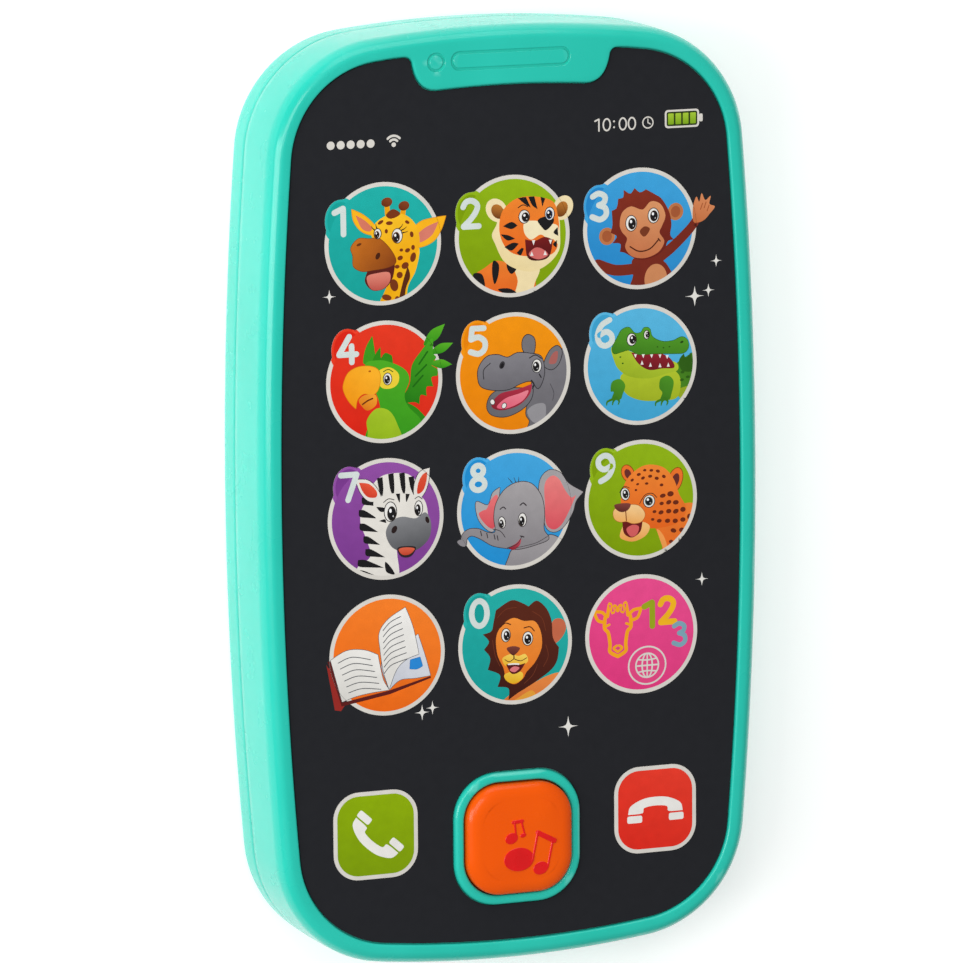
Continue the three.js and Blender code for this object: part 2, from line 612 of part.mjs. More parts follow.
const CELL_1_TIP = BAY.y1 - 0.6;
const CELL_2_TIP = BAY.y0 + 0.6;

// A coned contact spring along Y, from its plate at y0 to its tip at y1.
class SpringPath extends THREE.Curve {
  constructor(x, y0, y1) {
    super();
    Object.assign(this, { x, y0, y1 });
  }

  getPoint(t, target = new THREE.Vector3()) {
    const angle = 3 * 2 * Math.PI * t;
    const r = 3.4 - 1.2 * t;
    const y = this.y0 + (this.y1 - this.y0) * t;
    return target.set(this.x + r * Math.cos(angle), y, CELL_Z + r * Math.sin(angle));
  }
}

const spring = (x, y0, y1) => bar(new SpringPath(x, y0, y1), 0.3, 27, 4);

function contactTab(x) {
  const y = BAY.y1 - 0.1 - CONTACT_T;
  return union([
    box(x - 4.2, x + 4.2, y, y + CONTACT_T, 3.4, 12),
    box(x - 1, x + 1, y, BAY.y1 + 4.4, 11.7, 12.1),
  ]);
}

const contactPositive = () => contactTab(-CELL_X);
const contactNegative = () => contactTab(CELL_X)
  .add(spring(CELL_X, BAY.y1 - 0.3, CELL_2_TIP + CELL_LENGTH + 0.45));
function contactBridge() {
  const y = BAY.y0 + 0.1;
  return box(-9.6, 9.6, y, y + CONTACT_T, 3.4, 11.4)
    .add(spring(-CELL_X, y + 0.2, CELL_1_TIP - CELL_LENGTH - 0.45));
}

const wire = (points) => bar(
  new THREE.CatmullRomCurve3(points.map(([x, y, z]) => new THREE.Vector3(x, y, z)), false, 'centripetal'),
  0.55, 14, 5,
);

// Each wire starts and ends a hair clear of the lug or board that it is soldered to.
const WIRES = {
  wire_battery_to_switch: [[-5.65, 6.1, 12.5], [-5, 10, 12.6], [4, 14.5, 12.4], [18, 12, 11], [24, 0, 9.8],
    [25, -7.6, 9.3]],
  wire_switch_to_board: [[26.1, -12, 8.4], [28.5, -12.5, 9.6], [29, -9, 12], [28, -5, 13.2],
    [27.2, -3, 13.8]],
  wire_battery_to_board: [[5.65, 6.1, 12.5], [6, 9, 12.3], [9, 11, 12.4], [11, 11, 13.2],
    [12.4, 11.2, 13.8]],
  wire_speaker_positive: [[-11.2, 24.6, 6], [-13, 21, 7.5], [-14.5, 17, 10.5], [-13, 14, 13],
    [-12, 13, 13.8]],
  wire_speaker_negative: [[-8.6, 22.4, 6], [-9.5, 19, 7.5], [-10.5, 17, 10.5], [-9.5, 14, 13],
    [-8.6, 12.6, 13.8]],
};

// ---- assembly -----------------------------------------------------------------------------

const group = new THREE.Group();

function place(name, body, look) {
  const mesh = new THREE.Mesh(geometryOf(body), look);
  mesh.name = name;
  group.add(mesh);
}

place('front_shell', frontShell(), TURQUOISE);
place('rear_shell', rearShell(), TURQUOISE);
place('screen_overlay', screenOverlay(), BLACK_FILM);
ROUND_KEYS.forEach((key) => place(key.name, roundKey(key), material(KEY_COLOURS[key.label], 0.4)));
CALL_KEYS.forEach((key) => place(key.name, squareKey(key), key.material));
place('home_button', homeButton(), HOME_ORANGE);

place('keypad_mat', keypadMat(), SILICONE);
place('main_board', mainBoard(), BOARD_GREEN);
place('chip_blob', chipBlob(), BLACK_PLASTIC);
place('capacitor', capacitor(), CAN_SLEEVE);
place('resistor_1', resistor(20, 18), CERAMIC);
place('resistor_2', resistor(20, 0.5), CERAMIC);
place('driver_transistor', transistor(), BLACK_PLASTIC);

place('power_switch_body', switchBody(), STEEL);
place('power_switch_knob', switchKnob(), BLACK_PLASTIC);

place('speaker_frame', speakerFrame(), STEEL);
place('speaker_magnet', speakerMagnet(), STEEL);
place('speaker_cone', speakerCone(), PAPER_CONE);
place('speaker_clamp', speakerClamp(), BLACK_PLASTIC);
[-CLAMP_X, CLAMP_X].forEach((x, i) =>
  place(`clamp_screw_${i + 1}`, screwHeadUp(x, SPEAKER_Y, SMALL_SCREW, 12.45, 13.6, 5.5), STEEL));

place('battery_1', cell(-CELL_X, CELL_1_TIP, 1), CELL_WRAP);
place('battery_2', cell(CELL_X, CELL_2_TIP, -1), CELL_WRAP);
place('contact_positive', contactPositive(), BRASS_PLATE);
place('contact_negative', contactNegative(), BRASS_PLATE);
place('contact_bridge', contactBridge(), BRASS_PLATE);

place('battery_door', batteryDoor(), TURQUOISE);
place('battery_door_screw', screwHeadDown(0, DOOR_SCREW_Y, LARGE_SCREW, 0.6, 2.2, 8.8), STEEL);
CASE_SCREWS.forEach(([x, y], i) =>
  place(`case_screw_${i + 1}`, screwHeadDown(x, y, LARGE_SCREW, 3.8, CASE_WELL_TOP - 0.1, 15.5), STEEL));
BOARD_POSTS.forEach(([x, y], i) =>
  place(`board_screw_${i + 1}`, screwHeadDown(x, y, SMALL_SCREW, 13.2, BOARD_BOTTOM - 0.1, 18.3), STEEL));

Object.entries(WIRES).forEach(([name, points], i) =>
  place(name, wire(points), i === 2 || i === 4 ? WIRE_BLACK : WIRE_RED));

export default group;
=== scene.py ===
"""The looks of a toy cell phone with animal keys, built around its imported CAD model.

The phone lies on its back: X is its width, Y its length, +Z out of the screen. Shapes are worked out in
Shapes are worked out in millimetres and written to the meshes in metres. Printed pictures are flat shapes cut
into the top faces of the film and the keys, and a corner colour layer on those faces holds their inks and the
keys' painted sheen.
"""

import math

import bmesh
import bpy
import numpy as np
from mathutils import Matrix, Vector
from mathutils.geometry import delaunay_2d_cdt


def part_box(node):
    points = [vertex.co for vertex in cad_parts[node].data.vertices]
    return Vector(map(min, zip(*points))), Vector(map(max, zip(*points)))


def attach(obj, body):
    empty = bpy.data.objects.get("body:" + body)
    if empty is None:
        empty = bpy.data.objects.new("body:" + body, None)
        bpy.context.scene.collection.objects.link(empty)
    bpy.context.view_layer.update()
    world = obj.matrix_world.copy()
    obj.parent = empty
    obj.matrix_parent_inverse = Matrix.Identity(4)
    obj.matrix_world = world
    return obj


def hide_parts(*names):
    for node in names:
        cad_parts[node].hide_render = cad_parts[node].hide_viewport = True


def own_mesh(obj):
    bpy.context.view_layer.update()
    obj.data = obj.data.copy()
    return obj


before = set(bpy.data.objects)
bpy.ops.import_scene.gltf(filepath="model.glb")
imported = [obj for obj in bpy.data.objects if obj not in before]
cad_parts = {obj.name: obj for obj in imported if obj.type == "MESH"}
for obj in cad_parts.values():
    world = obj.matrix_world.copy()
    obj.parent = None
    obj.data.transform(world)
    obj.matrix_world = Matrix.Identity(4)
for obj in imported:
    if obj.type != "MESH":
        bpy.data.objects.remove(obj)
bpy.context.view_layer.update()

MM = 0.001


def span(node):
    """Lowest and highest corner of a CAD node in millimetres."""
    low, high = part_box(node)
    return np.array(low) / MM, np.array(high) / MM


def middle(node):
    low, high = span(node)
    return (low[:2] + high[:2]) / 2


# ---- dimensions, from the frame or shared with the CAD source -----------------------------------

BEZEL = 3.5
PANEL_HALF_W = span("front_shell")[1][0] - BEZEL
PANEL_HALF_L = span("front_shell")[1][1] - BEZEL
SIDE_BOW_R = 660
END_BOW_R = 180
CORNER_R = 15.5
ARC_POINTS = 28                 # points along a corner; a side has twice as many
WALL = 2

SEAM = 8.9                      # the height of the parting line, where the case is widest
SEAM_HALF = 0.05                # half of its fine gap
SEAM_CHAMFER = 0.14
SURROUND_TOP = span("front_shell")[1][2]
RIM_TOP = SURROUND_TOP - 0.3
RIM_ROLL = {"inward": 2.1, "rise": 2.9}     # the rim rolls over in a quarter of an ellipse
BACK_R = 5
FILM_BOTTOM = span("screen_overlay")[0][2]
FILM_TOP = span("screen_overlay")[1][2]
DECK_TOP = FILM_BOTTOM - 0.05
DECK_BOTTOM = 18.6
KEY_TOP = span("key_book")[1][2]
KEY_R = 9.4
KEY_FACE_R = 8.75               # inside the pale ring
KEY_GAP = 0.04                  # the fine line between a key and the film
FLANGE_OVER = 0.8               # how far a key's flange passes its cap
BUMP = {"rx": 2.6, "ry": 3.3}     # the bump behind a digit
BUMP_AT = {label: (-6.7, 3.8) if label in "123" else (-5.9, 5.2) for label in "0123456789"}
CALL_SIZE = 13.8
CALL_CORNER = 4.2
HOME_SIZE = 17.35
HOME_CORNER = 5.6
HOME_GAP = 0.25
HOME_TOP = span("home_button")[1][2]
HOME = middle("home_button")
SURROUND_SIZE = 20.8
SURROUND_CORNER = 7

ROUND_KEYS = ["1", "2", "3", "4", "5", "6", "7", "8", "9", "book", "0", "mode"]
KEY_AT = {label: middle("key_" + label) for label in ROUND_KEYS + ["call", "end"]}


# ---- outlines: each is an array of (x, y) points round a closed loop ---------------------------

def arc(cx, cy, r, start, end, count):
    """Points along an arc, without its last one."""
    angles = start + (end - start) * np.arange(count) / count
    return np.column_stack([cx + r * np.cos(angles), cy + r * np.sin(angles)])


def circle(cx, cy, r, count=64):
    return arc(cx, cy, r, 0, 2 * math.pi, count)


def spun(points, turn):
    """Points turned about the origin by so many degrees."""
    a = math.radians(turn)
    return np.asarray(points) @ np.array([[math.cos(a), math.sin(a)], [-math.sin(a), math.cos(a)]])


def ellipse(cx, cy, rx, ry, turn=0, count=28):
    """An ellipse turned by so many degrees."""
    return spun(circle(0, 0, 1, count) * [rx, ry], turn) + [cx, cy]


def rounded_box(x0, x1, y0, y1, r, count=8):
    """A rectangle with round corners, its long sides cut into short steps."""
    quarter = math.pi / 2
    corners = [(x1 - r, y1 - r, 0), (x0 + r, y1 - r, 1), (x0 + r, y0 + r, 2), (x1 - r, y0 + r, 3)]
    points = [arc(x, y, r, k * quarter, (k + 1) * quarter + 1e-9, count) for x, y, k in corners]
    ends = [np.array([[x + r * math.cos((k + 1) * quarter), y + r * math.sin((k + 1) * quarter)]])
            for x, y, k in corners]
    return np.vstack([part for pair in zip(points, ends) for part in pair])


def square(centre, size, r, count=8):
    x, y = centre
    return rounded_box(x - size / 2, x + size / 2, y - size / 2, y + size / 2, r, count)


def corner_centre():
    """The panel's corner arc touches the side bow and the end bow from inside."""
    side = PANEL_HALF_W - SIDE_BOW_R
    end = PANEL_HALF_L - END_BOW_R
    to_side = SIDE_BOW_R - CORNER_R
    to_end = END_BOW_R - CORNER_R
    apart = math.hypot(side, end)
    along = (to_side ** 2 - to_end ** 2 + apart ** 2) / (2 * apart)
    across = math.sqrt(to_side ** 2 - along ** 2)
    ux = -side / apart
    uy = end / apart
    return side + along * ux - across * uy, along * uy + across * ux


def panel_outline(offset):
    """The black panel's outline grown by offset; the case's outline is the same curve grown by BEZEL."""
    cx, cy = corner_centre()
    side_x = PANEL_HALF_W - SIDE_BOW_R
    end_y = PANEL_HALF_L - END_BOW_R
    a = math.atan2(cy, cx - side_x)
    b = math.atan2(cy - end_y, cx)
    side = SIDE_BOW_R + offset
    end = END_BOW_R + offset
    corner = CORNER_R + offset
    turn = math.pi
    return np.vstack([
        arc(side_x, 0, side, -a, a, 2 * ARC_POINTS),
        arc(cx, cy, corner, a, b, ARC_POINTS),
        arc(0, end_y, end, b, turn - b, ARC_POINTS),
        arc(-cx, cy, corner, turn - b, turn - a, ARC_POINTS),
        arc(-side_x, 0, side, turn - a, turn + a, 2 * ARC_POINTS),
        arc(-cx, -cy, corner, turn + a, turn + b, ARC_POINTS),
        arc(0, -end_y, end, turn + b, 2 * turn - b, ARC_POINTS),
        arc(cx, -cy, corner, 2 * turn - b, 2 * turn - a, ARC_POINTS),
    ])


def bezier(p0, p1, p2, p3, count):
    """Points along a cubic curve, without its last one."""
    t = np.arange(count)[:, None] / count
    p0, p1, p2, p3 = (np.array(p, float) for p in (p0, p1, p2, p3))
    return (1 - t) ** 3 * p0 + 3 * (1 - t) ** 2 * t * p1 + 3 * (1 - t) * t ** 2 * p2 + t ** 3 * p3


NOTCH = {"side": 16.2, "foot": 12.2, "bottom": 63.2, "shoulder": 67.7, "reach": 18.4}


def film_outline(offset):
    """The film's outline: the panel's, less the tab that the top bezel dips into it."""
    panel = panel_outline(offset)
    reach = NOTCH["reach"]
    inside = np.flatnonzero((panel[:, 1] > 0) & (abs(panel[:, 0]) < reach))
    top = panel[inside[0]][1] - 0.15
    side = NOTCH["side"] - offset
    foot = NOTCH["foot"]
    low = NOTCH["bottom"] + offset
    shoulder = NOTCH["shoulder"]
    mid = low + 0.45
    left = np.vstack([
        bezier((-reach, top), (-side - 1.1, top + 0.1), (-side - 0.4, shoulder + 0.9), (-side, shoulder),
               8),
        bezier((-side, shoulder), (-side + 0.4, (low + shoulder) / 2), (-side + 1.2, low), (-foot, low),
               12),
        bezier((-foot, low), (-foot * 0.6, low + 0.3), (-foot * 0.3, mid), (0, mid), 8),
    ])
    right = left * [-1, 1]
    return np.vstack([panel[:inside[0]], right, [[0, mid]], left[::-1], panel[inside[-1] + 1:]])


def shifted(loop, distance):
    """A counter-clockwise loop moved outwards by distance, point by point."""
    ahead = np.roll(loop, -1, axis=0) - loop
    ahead /= np.linalg.norm(ahead, axis=1)[:, None]
    behind = np.roll(ahead, 1, axis=0)
    along = ahead + behind
    along /= np.linalg.norm(along, axis=1)[:, None]
    return loop + distance * np.column_stack([along[:, 1], -along[:, 0]])


def inside_loop(points, loop):
    """For each point, whether it lies inside the loop."""
    x, y = points[:, 0:1], points[:, 1:2]
    ax, ay = loop[:, 0], loop[:, 1]
    bx, by = np.roll(ax, -1), np.roll(ay, -1)
    level = (ay > y) != (by > y)
    rise = np.where(by == ay, 1, by - ay)
    crossing = ax + (y - ay) * (bx - ax) / rise
    return np.sum(level & (x < crossing), axis=1) % 2 == 1


# ---- meshes ------------------------------------------------------------------------------------

class Body:
    """Collects points and faces in millimetres, then makes one object of them."""

    def __init__(self):
        self.points = []
        self.faces = []
        self.count = 0

    def add(self, points):
        first = self.count
        self.points.append(np.asarray(points, float))
        self.count += len(points)
        return first

    def rows(self, rows):
        """Joins loops of as many points each into a skin. Each row is (loop, height)."""
        starts = [self.add(np.column_stack([loop, np.full(len(loop), z)])) for loop, z in rows]
        count = len(rows[0][0])
        for low, high in zip(starts, starts[1:]):
            for i in range(count):
                j = (i + 1) % count
                self.faces.append((low + i, low + j, high + j, high + i))

    def fill(self, loops, z, seeds=(), creases=()):
        """Fills the area between nested loops at one height, or at z(points)."""
        points, triangles = triangles_in(loops, seeds, creases)
        heights = z(points) if callable(z) else np.full(len(points), z)
        first = self.add(np.column_stack([points, heights]))
        self.faces += [tuple(first + i for i in triangle) for triangle in triangles]

    def plate(self, outline, holes, low, high, edge=0.0):
        """A flat plate with holes through it and a small chamfer round its outer edge."""
        if edge:
            self.rows([(shifted(outline, -edge), low), (outline, low + edge), (outline, high - edge),
                       (shifted(outline, -edge), high)])
            outline = shifted(outline, -edge)
        else:
            self.rows([(outline, low), (outline, high)])
        for hole in holes:
            self.rows([(hole, low), (hole, high)])
        self.fill([outline, *holes], low)
        self.fill([outline, *holes], high)

    def turned(self, x, y, profile, steps=48):
        """A turned shape about an upright axis; the profile holds (radius, height) pairs."""
        self.rows([(circle(x, y, max(r, 1e-4), steps), z) for r, z in profile])

    def made(self, name, material, body, replaces=(), slot=None, angle=35):
        """Makes the object, welds it, gives it its material and lets it ride on a CAD body."""
        points = np.vstack(self.points)
        mesh = bpy.data.meshes.new(name)
        mesh.from_pydata((points * MM).tolist(), [], self.faces)
        work = bmesh.new()
        work.from_mesh(mesh)
        bmesh.ops.remove_doubles(work, verts=work.verts, dist=2e-6)
        bmesh.ops.recalc_face_normals(work, faces=work.faces)
        work.to_mesh(mesh)
        work.free()
        shade(mesh, angle)
        mesh.materials.append(material)
        return settled(bpy.data.objects.new(name, mesh), body, replaces)


def shade(mesh, angle):
    """Smooth shading, broken at edges and left flat on level faces, so that nothing streaks over them."""
    mesh.polygons.foreach_set("use_smooth", [abs(face.normal.z) < 0.99999 for face in mesh.polygons])
    mesh.set_sharp_from_angle(angle=math.radians(angle))


def settled(piece, body, replaces=()):
    """Links a new piece, lets it ride on its body and hides the CAD parts that it replaces."""
    bpy.context.scene.collection.objects.link(piece)
    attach(piece, body)
    if replaces:
        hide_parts(*replaces)
    return piece


def triangles_in(loops, seeds=(), creases=()):
    """Triangles over the area between nested loops, with creases as extra closed loops kept in it."""
    points = []
    edges = []
    for loop in [*loops, *creases]:
        first = len(points)
        points += [Vector(p) for p in loop]
        count = len(loop)
        edges += [(first + i, first + (i + 1) % count) for i in range(count)]
    points += [Vector(p) for p in seeds]
    placed, _, triangles, *_ = delaunay_2d_cdt(points, edges, [], 0, 1e-5)
    placed = np.array([tuple(p) for p in placed])
    triangles = np.array([tuple(t) for t in triangles])
    centres = placed[triangles].mean(axis=1)
    depth = sum(inside_loop(centres, np.asarray(loop)).astype(int) for loop in loops)
    return placed, triangles[depth % 2 == 1]


# ---- materials ---------------------------------------------------------------------------------

def linear(code):
    """A colour written as a hex number, as linear red, green, blue and alpha."""
    parts = [(code >> shift & 255) / 255 for shift in (16, 8, 0)]
    return tuple(c / 12.92 if c <= 0.04045 else ((c + 0.055) / 1.055) ** 2.4 for c in parts) + (1.0,)


class Look:
    """A node material around one Principled shader, with short calls for the nodes that it uses."""

    def __init__(self, name, roughness=0.4, metallic=0.0, coat=0.0, coat_roughness=0.1, specular=0.5):
        self.material = bpy.data.materials.new(name)
        self.material.use_nodes = True
        self.nodes = self.material.node_tree.nodes
        self.shader = self.nodes["Principled BSDF"]
        self.set("Roughness", roughness)
        self.set("Metallic", metallic)
        self.set("Coat Weight", coat)
        self.set("Coat Roughness", coat_roughness)
        self.set("Specular IOR Level", specular)
        self.bump = None

    def set(self, socket, value):
        self.shader.inputs[socket].default_value = value

    def link(self, source, target):
        self.material.node_tree.links.new(source, target)

    def node(self, kind, **values):
        node = self.nodes.new(kind)
        for key, value in values.items():
            if key in node.inputs:
                node.inputs[key].default_value = value
            else:
                setattr(node, key, value)
        return node

    def noise(self, size, detail=3.0, stretch=(1, 1, 1)):
        """Noise whose blotches are about so many millimetres across, fixed to the object."""
        place = self.node("ShaderNodeTexCoord")
        mapping = self.node("ShaderNodeMapping")
        mapping.inputs["Scale"].default_value = stretch
        self.link(place.outputs["Object"], mapping.inputs["Vector"])
        noise = self.node("ShaderNodeTexNoise", Scale=1 / (size * MM), Detail=detail)
        self.link(mapping.outputs["Vector"], noise.inputs["Vector"])
        return noise.outputs["Fac"]

    def between(self, factor, low, high, start=0.3, end=0.7):
        """factor, from start to end, spread over low to high."""
        ranged = self.node("ShaderNodeMapRange")
        for socket, value in (("From Min", start), ("From Max", end), ("To Min", low), ("To Max", high)):
            ranged.inputs[socket].default_value = value
        self.link(factor, ranged.inputs["Value"])
        return ranged.outputs["Result"]

    def mix(self, factor, first, second):
        """Mixes two colours, each a hex number or an output."""
        mix = self.node("ShaderNodeMix", data_type="RGBA")
        self.link(factor, mix.inputs["Factor"])
        for socket, value in (("A", first), ("B", second)):
            target = [i for i in mix.inputs if i.name == socket and i.type == "RGBA"][0]
            if isinstance(value, int):
                target.default_value = linear(value)
            else:
                self.link(value, target)
        return [o for o in mix.outputs if o.type == "RGBA"][0]

    def colour(self, source):
        self.link(source, self.shader.inputs["Base Color"])

    def rough(self, size, low, high):
        self.link(self.between(self.noise(size), low, high), self.shader.inputs["Roughness"])

    def bumps(self, height, depth):
        """Adds a relief of so many millimetres from a 0 to 1 height."""
        bump = self.node("ShaderNodeBump", Strength=1.0, Distance=depth * MM)
        self.link(height, bump.inputs["Height"])
        if self.bump:
            self.link(self.bump, bump.inputs["Normal"])
        self.bump = bump.outputs["Normal"]
        self.link(self.bump, self.shader.inputs["Normal"])


def glossy_plastic(name, light, dark, worn, specular=0.3, coat=0.2):
    """Moulded ABS: faint flow marks in the colour, a fine moulding ripple and slightly rubbed edges."""
    look = Look(name, roughness=0.24, coat=coat, coat_roughness=0.06, specular=specular)
    flow = look.between(look.noise(14, 2.0, (1, 0.4, 1)), 0, 1)
    body = look.mix(flow, dark, light)
    edge = look.node("ShaderNodeNewGeometry").outputs["Pointiness"]
    rubbed = look.between(edge, 0, 0.35, 0.53, 0.62)
    look.colour(look.mix(rubbed, body, worn))
    look.rough(5, 0.2, 0.3)
    look.bumps(look.noise(0.9, 2.0), 0.0012)
    return look.material


def satin_plastic(name, light, dark, roughness=0.45):
    """Moulded plastic with a fine spark-eroded grain."""
    look = Look(name, roughness=roughness)
    look.colour(look.mix(look.between(look.noise(3), 0, 1), dark, light))
    look.rough(2, roughness - 0.06, roughness + 0.08)
    look.bumps(look.noise(0.25, 4.0), 0.012)
    return look.material


def printed(name, roughness, coat=0.03):
    """Inks printed on plastic, and on the keys a painted sheen: the colour layer, with a slight mottle, under
    a thin clear lacquer.
    """
    look = Look(name, roughness=roughness, coat=coat, coat_roughness=0.18, specular=0.16)
    ink = look.node("ShaderNodeVertexColor", layer_name="ink").outputs["Color"]
    mottle = look.between(look.noise(1.5, 4.0), 0.96, 1.04)
    blend = look.node("ShaderNodeMix", data_type="RGBA", blend_type="MULTIPLY")
    blend.inputs["Factor"].default_value = 1.0
    colours = [i for i in blend.inputs if i.type == "RGBA"]
    look.link(ink, colours[0])
    grey = look.node("ShaderNodeCombineColor")
    for channel in ("Red", "Green", "Blue"):
        look.link(mottle, grey.inputs[channel])
    look.link(grey.outputs["Color"], colours[1])
    look.colour([o for o in blend.outputs if o.type == "RGBA"][0])
    look.rough(1.6, roughness - 0.05, roughness + 0.07)
    look.bumps(look.noise(0.6, 2.0), 0.002)
    return look.material


def metal(name, colour, dull, roughness=0.3, stretch=(1, 1, 1)):
    """Plated metal with faint drawing marks and dull patches."""
    look = Look(name, roughness=roughness, metallic=1.0)
    look.colour(look.mix(look.between(look.noise(2.5, 5.0), 0, 1), dull, colour))
    look.rough(1.2, roughness - 0.08, roughness + 0.15)
    look.bumps(look.noise(0.3, 3.0, stretch), 0.006)
    return look.material


def silicone():
    look = Look("silicone", roughness=0.65)
    look.set("Subsurface Weight", 0.15)
    look.shader.inputs["Subsurface Radius"].default_value = (0.002, 0.002, 0.0018)
    look.colour(look.mix(look.between(look.noise(4), 0, 1), 0xC9C9C2, 0xDCDCD6))
    look.bumps(look.noise(0.3, 4.0), 0.01)
    return look.material


def circuit_board():
    """Green lacquer over copper tracks and a fine glass weave."""
    look = Look("circuit_board", roughness=0.4, coat=0.4)
    place = look.node("ShaderNodeTexCoord")
    tracks = look.node("ShaderNodeTexBrick", Scale=160.0)
    look.link(place.outputs["Object"], tracks.inputs["Vector"])
    lacquer = look.mix(look.between(look.noise(6), 0, 1), 0x17592F, 0x207540)
    look.colour(look.mix(tracks.outputs["Fac"], lacquer, 0x2E9454))
    look.rough(2, 0.32, 0.48)
    look.bumps(tracks.outputs["Fac"], 0.03)
    return look.material


def paper_cone():
    look = Look("paper_cone", roughness=0.85)
    look.colour(look.mix(look.between(look.noise(0.8, 6.0), 0, 1), 0x1D1D1F, 0x333336))
    look.bumps(look.noise(0.4, 6.0), 0.04)
    return look.material


def cell_wrap():
    """A plain two-colour foil sleeve on a dry cell, with a pale band near its button end."""
    look = Look("cell_wrap", roughness=0.3, metallic=0.6, coat=0.5)
    place = look.node("ShaderNodeTexCoord").outputs["Object"]
    along = look.node("ShaderNodeSeparateXYZ")
    look.link(place, along.inputs["Vector"])
    band = look.between(along.outputs["Y"], 0, 1, -0.0135, -0.0134)
    foil = look.mix(look.between(look.noise(3), 0, 1), 0x30508C, 0x4468A8)
    look.colour(look.mix(band, foil, 0xC8CCD2))
    look.rough(1.5, 0.24, 0.4)
    look.bumps(look.noise(1.2, 3.0, (1, 0.2, 1)), 0.01)
    return look.material


# ---- casing ------------------------------------------------------------------------------------

def key_outline(label, offset):
    """A round key's outline grown by offset: its disc and, on a number key, the bump behind the digit."""
    x, y = KEY_AT[label]
    count = 160
    angles = 2 * math.pi * np.arange(count) / count
    reach = np.full(count, KEY_R + offset)
    if len(label) == 1:
        rx, ry = BUMP["rx"] + offset, BUMP["ry"] + offset
        dx, dy = np.cos(angles), np.sin(angles)
        a = (dx / rx) ** 2 + (dy / ry) ** 2
        bx, by = BUMP_AT[label]
        b = dx * bx / rx ** 2 + dy * by / ry ** 2
        c = (bx / rx) ** 2 + (by / ry) ** 2 - 1
        inner = np.maximum(b * b - a * c, 0)
        far = np.where(b * b > a * c, (b + np.sqrt(inner)) / a, 0)
        reach = np.maximum(reach, far)
    return np.column_stack([x + reach * np.cos(angles), y + reach * np.sin(angles)])


def call_outline(label, offset):
    return square(KEY_AT[label], CALL_SIZE + 2 * offset, CALL_CORNER + offset, 12)


def outline_of(label, offset):
    return key_outline(label, offset) if label in ROUND_KEYS else call_outline(label, offset)


def key_outlines(offset):
    return [outline_of(label, offset) for label in KEY_AT]


def quarter(steps):
    """Sine and cosine pairs of a quarter turn, from its start to its end."""
    return [(math.sin(a), math.cos(a)) for a in np.linspace(0, math.pi / 2, steps + 1)]


CAMERA_RING = {"x": -12.3, "y": 67.5, "outer": 1.45, "inner": 1.05}
EAR_SLOT = {"x0": -9.9, "x1": 9.5, "y0": 66.1, "y1": 69, "r": 1.4, "groove": 0.4}
GROOVE_DEPTH = 0.25
FILM_FILLET = 0.35
WALL_BOW = 0.2                  # how far the softly rounded side wall draws in at its rim
RIM_START = RIM_TOP - RIM_ROLL["rise"]


def wall_row(z, inward=0):
    """The case's outline at one height of its bowed wall."""
    bow = WALL_BOW * ((z - SEAM) / (RIM_START - SEAM)) ** 2
    return panel_outline(BEZEL - bow - inward), z


def grid_within(inner, outer, step):
    """Points on a square grid between two loops, which keep a wide flat face's triangles small."""
    (x0, y0), (x1, y1) = outer.min(axis=0), outer.max(axis=0)
    points = np.array([(x, y) for x in np.arange(x0, x1, step) for y in np.arange(y0, y1, step)])
    kept = inside_loop(points, shifted(outer, -step / 3))
    if inner is not None:
        kept &= ~inside_loop(points, shifted(inner, step / 3))
    return points[kept]


def front_shell(material):
    body = Body()
    wall_inside = panel_outline(BEZEL - WALL)
    foot = SEAM + SEAM_HALF
    wall = [wall_row(z) for z in np.linspace(foot + SEAM_CHAMFER, RIM_START, 8)]
    rim = [(panel_outline(BEZEL - WALL_BOW - RIM_ROLL["inward"] * (1 - c)),
            RIM_START + RIM_ROLL["rise"] * s)
           for s, c in quarter(14)[1:]]
    body.rows([(wall_inside, foot), wall_row(foot, SEAM_CHAMFER), wall_row(foot + 0.04, 0.04), *wall, *rim])
    film_edge = film_outline(0.1)
    fillet = [(shifted(film_edge, FILM_FILLET * (1 - s)), RIM_TOP - FILM_FILLET * (1 - c))
              for s, c in quarter(4)]
    body.rows([*fillet, (film_edge, DECK_TOP)])
    ring = CAMERA_RING
    slot = EAR_SLOT
    grooves = [circle(ring["x"], ring["y"], ring["outer"], 48),
               circle(ring["x"], ring["y"], ring["inner"], 48)]
    for grow in (0, -slot["groove"]):
        grooves.append(rounded_box(slot["x0"] - grow, slot["x1"] + grow, slot["y0"] - grow,
                                   slot["y1"] + grow, slot["r"] + grow, 10))
    floor = RIM_TOP - GROOVE_DEPTH
    for outer, inner in (grooves[:2], grooves[2:]):
        lip = 0.07
        body.rows([(shifted(outer, lip), RIM_TOP), (outer, RIM_TOP - lip), (outer, floor)])
        body.rows([(shifted(inner, -lip), RIM_TOP), (inner, RIM_TOP - lip), (inner, floor)])
        body.fill([outer, inner], floor)
    edges = [shifted(grooves[0], 0.07), shifted(grooves[1], -0.07), shifted(grooves[2], 0.07),
             shifted(grooves[3], -0.07)]
    body.fill([rim[-1][0], fillet[0][0], *edges], RIM_TOP, grid_within(fillet[0][0], rim[-1][0], 0.6))
    home_hole = square(HOME, HOME_SIZE + 2 * HOME_GAP, HOME_CORNER + HOME_GAP, 14)
    holes = key_outlines(0.3) + [home_hole]
    body.fill([film_edge, *holes], DECK_TOP)
    body.fill([wall_inside, *holes], DECK_BOTTOM)
    for hole in holes:
        body.rows([(hole, DECK_BOTTOM), (hole, DECK_TOP)])
    body.rows([(wall_inside, DECK_BOTTOM), (wall_inside, foot)])
    surround_ring(body)
    body.made("front_shell_skin", material, "case", ["front_shell"], "case_turquoise")


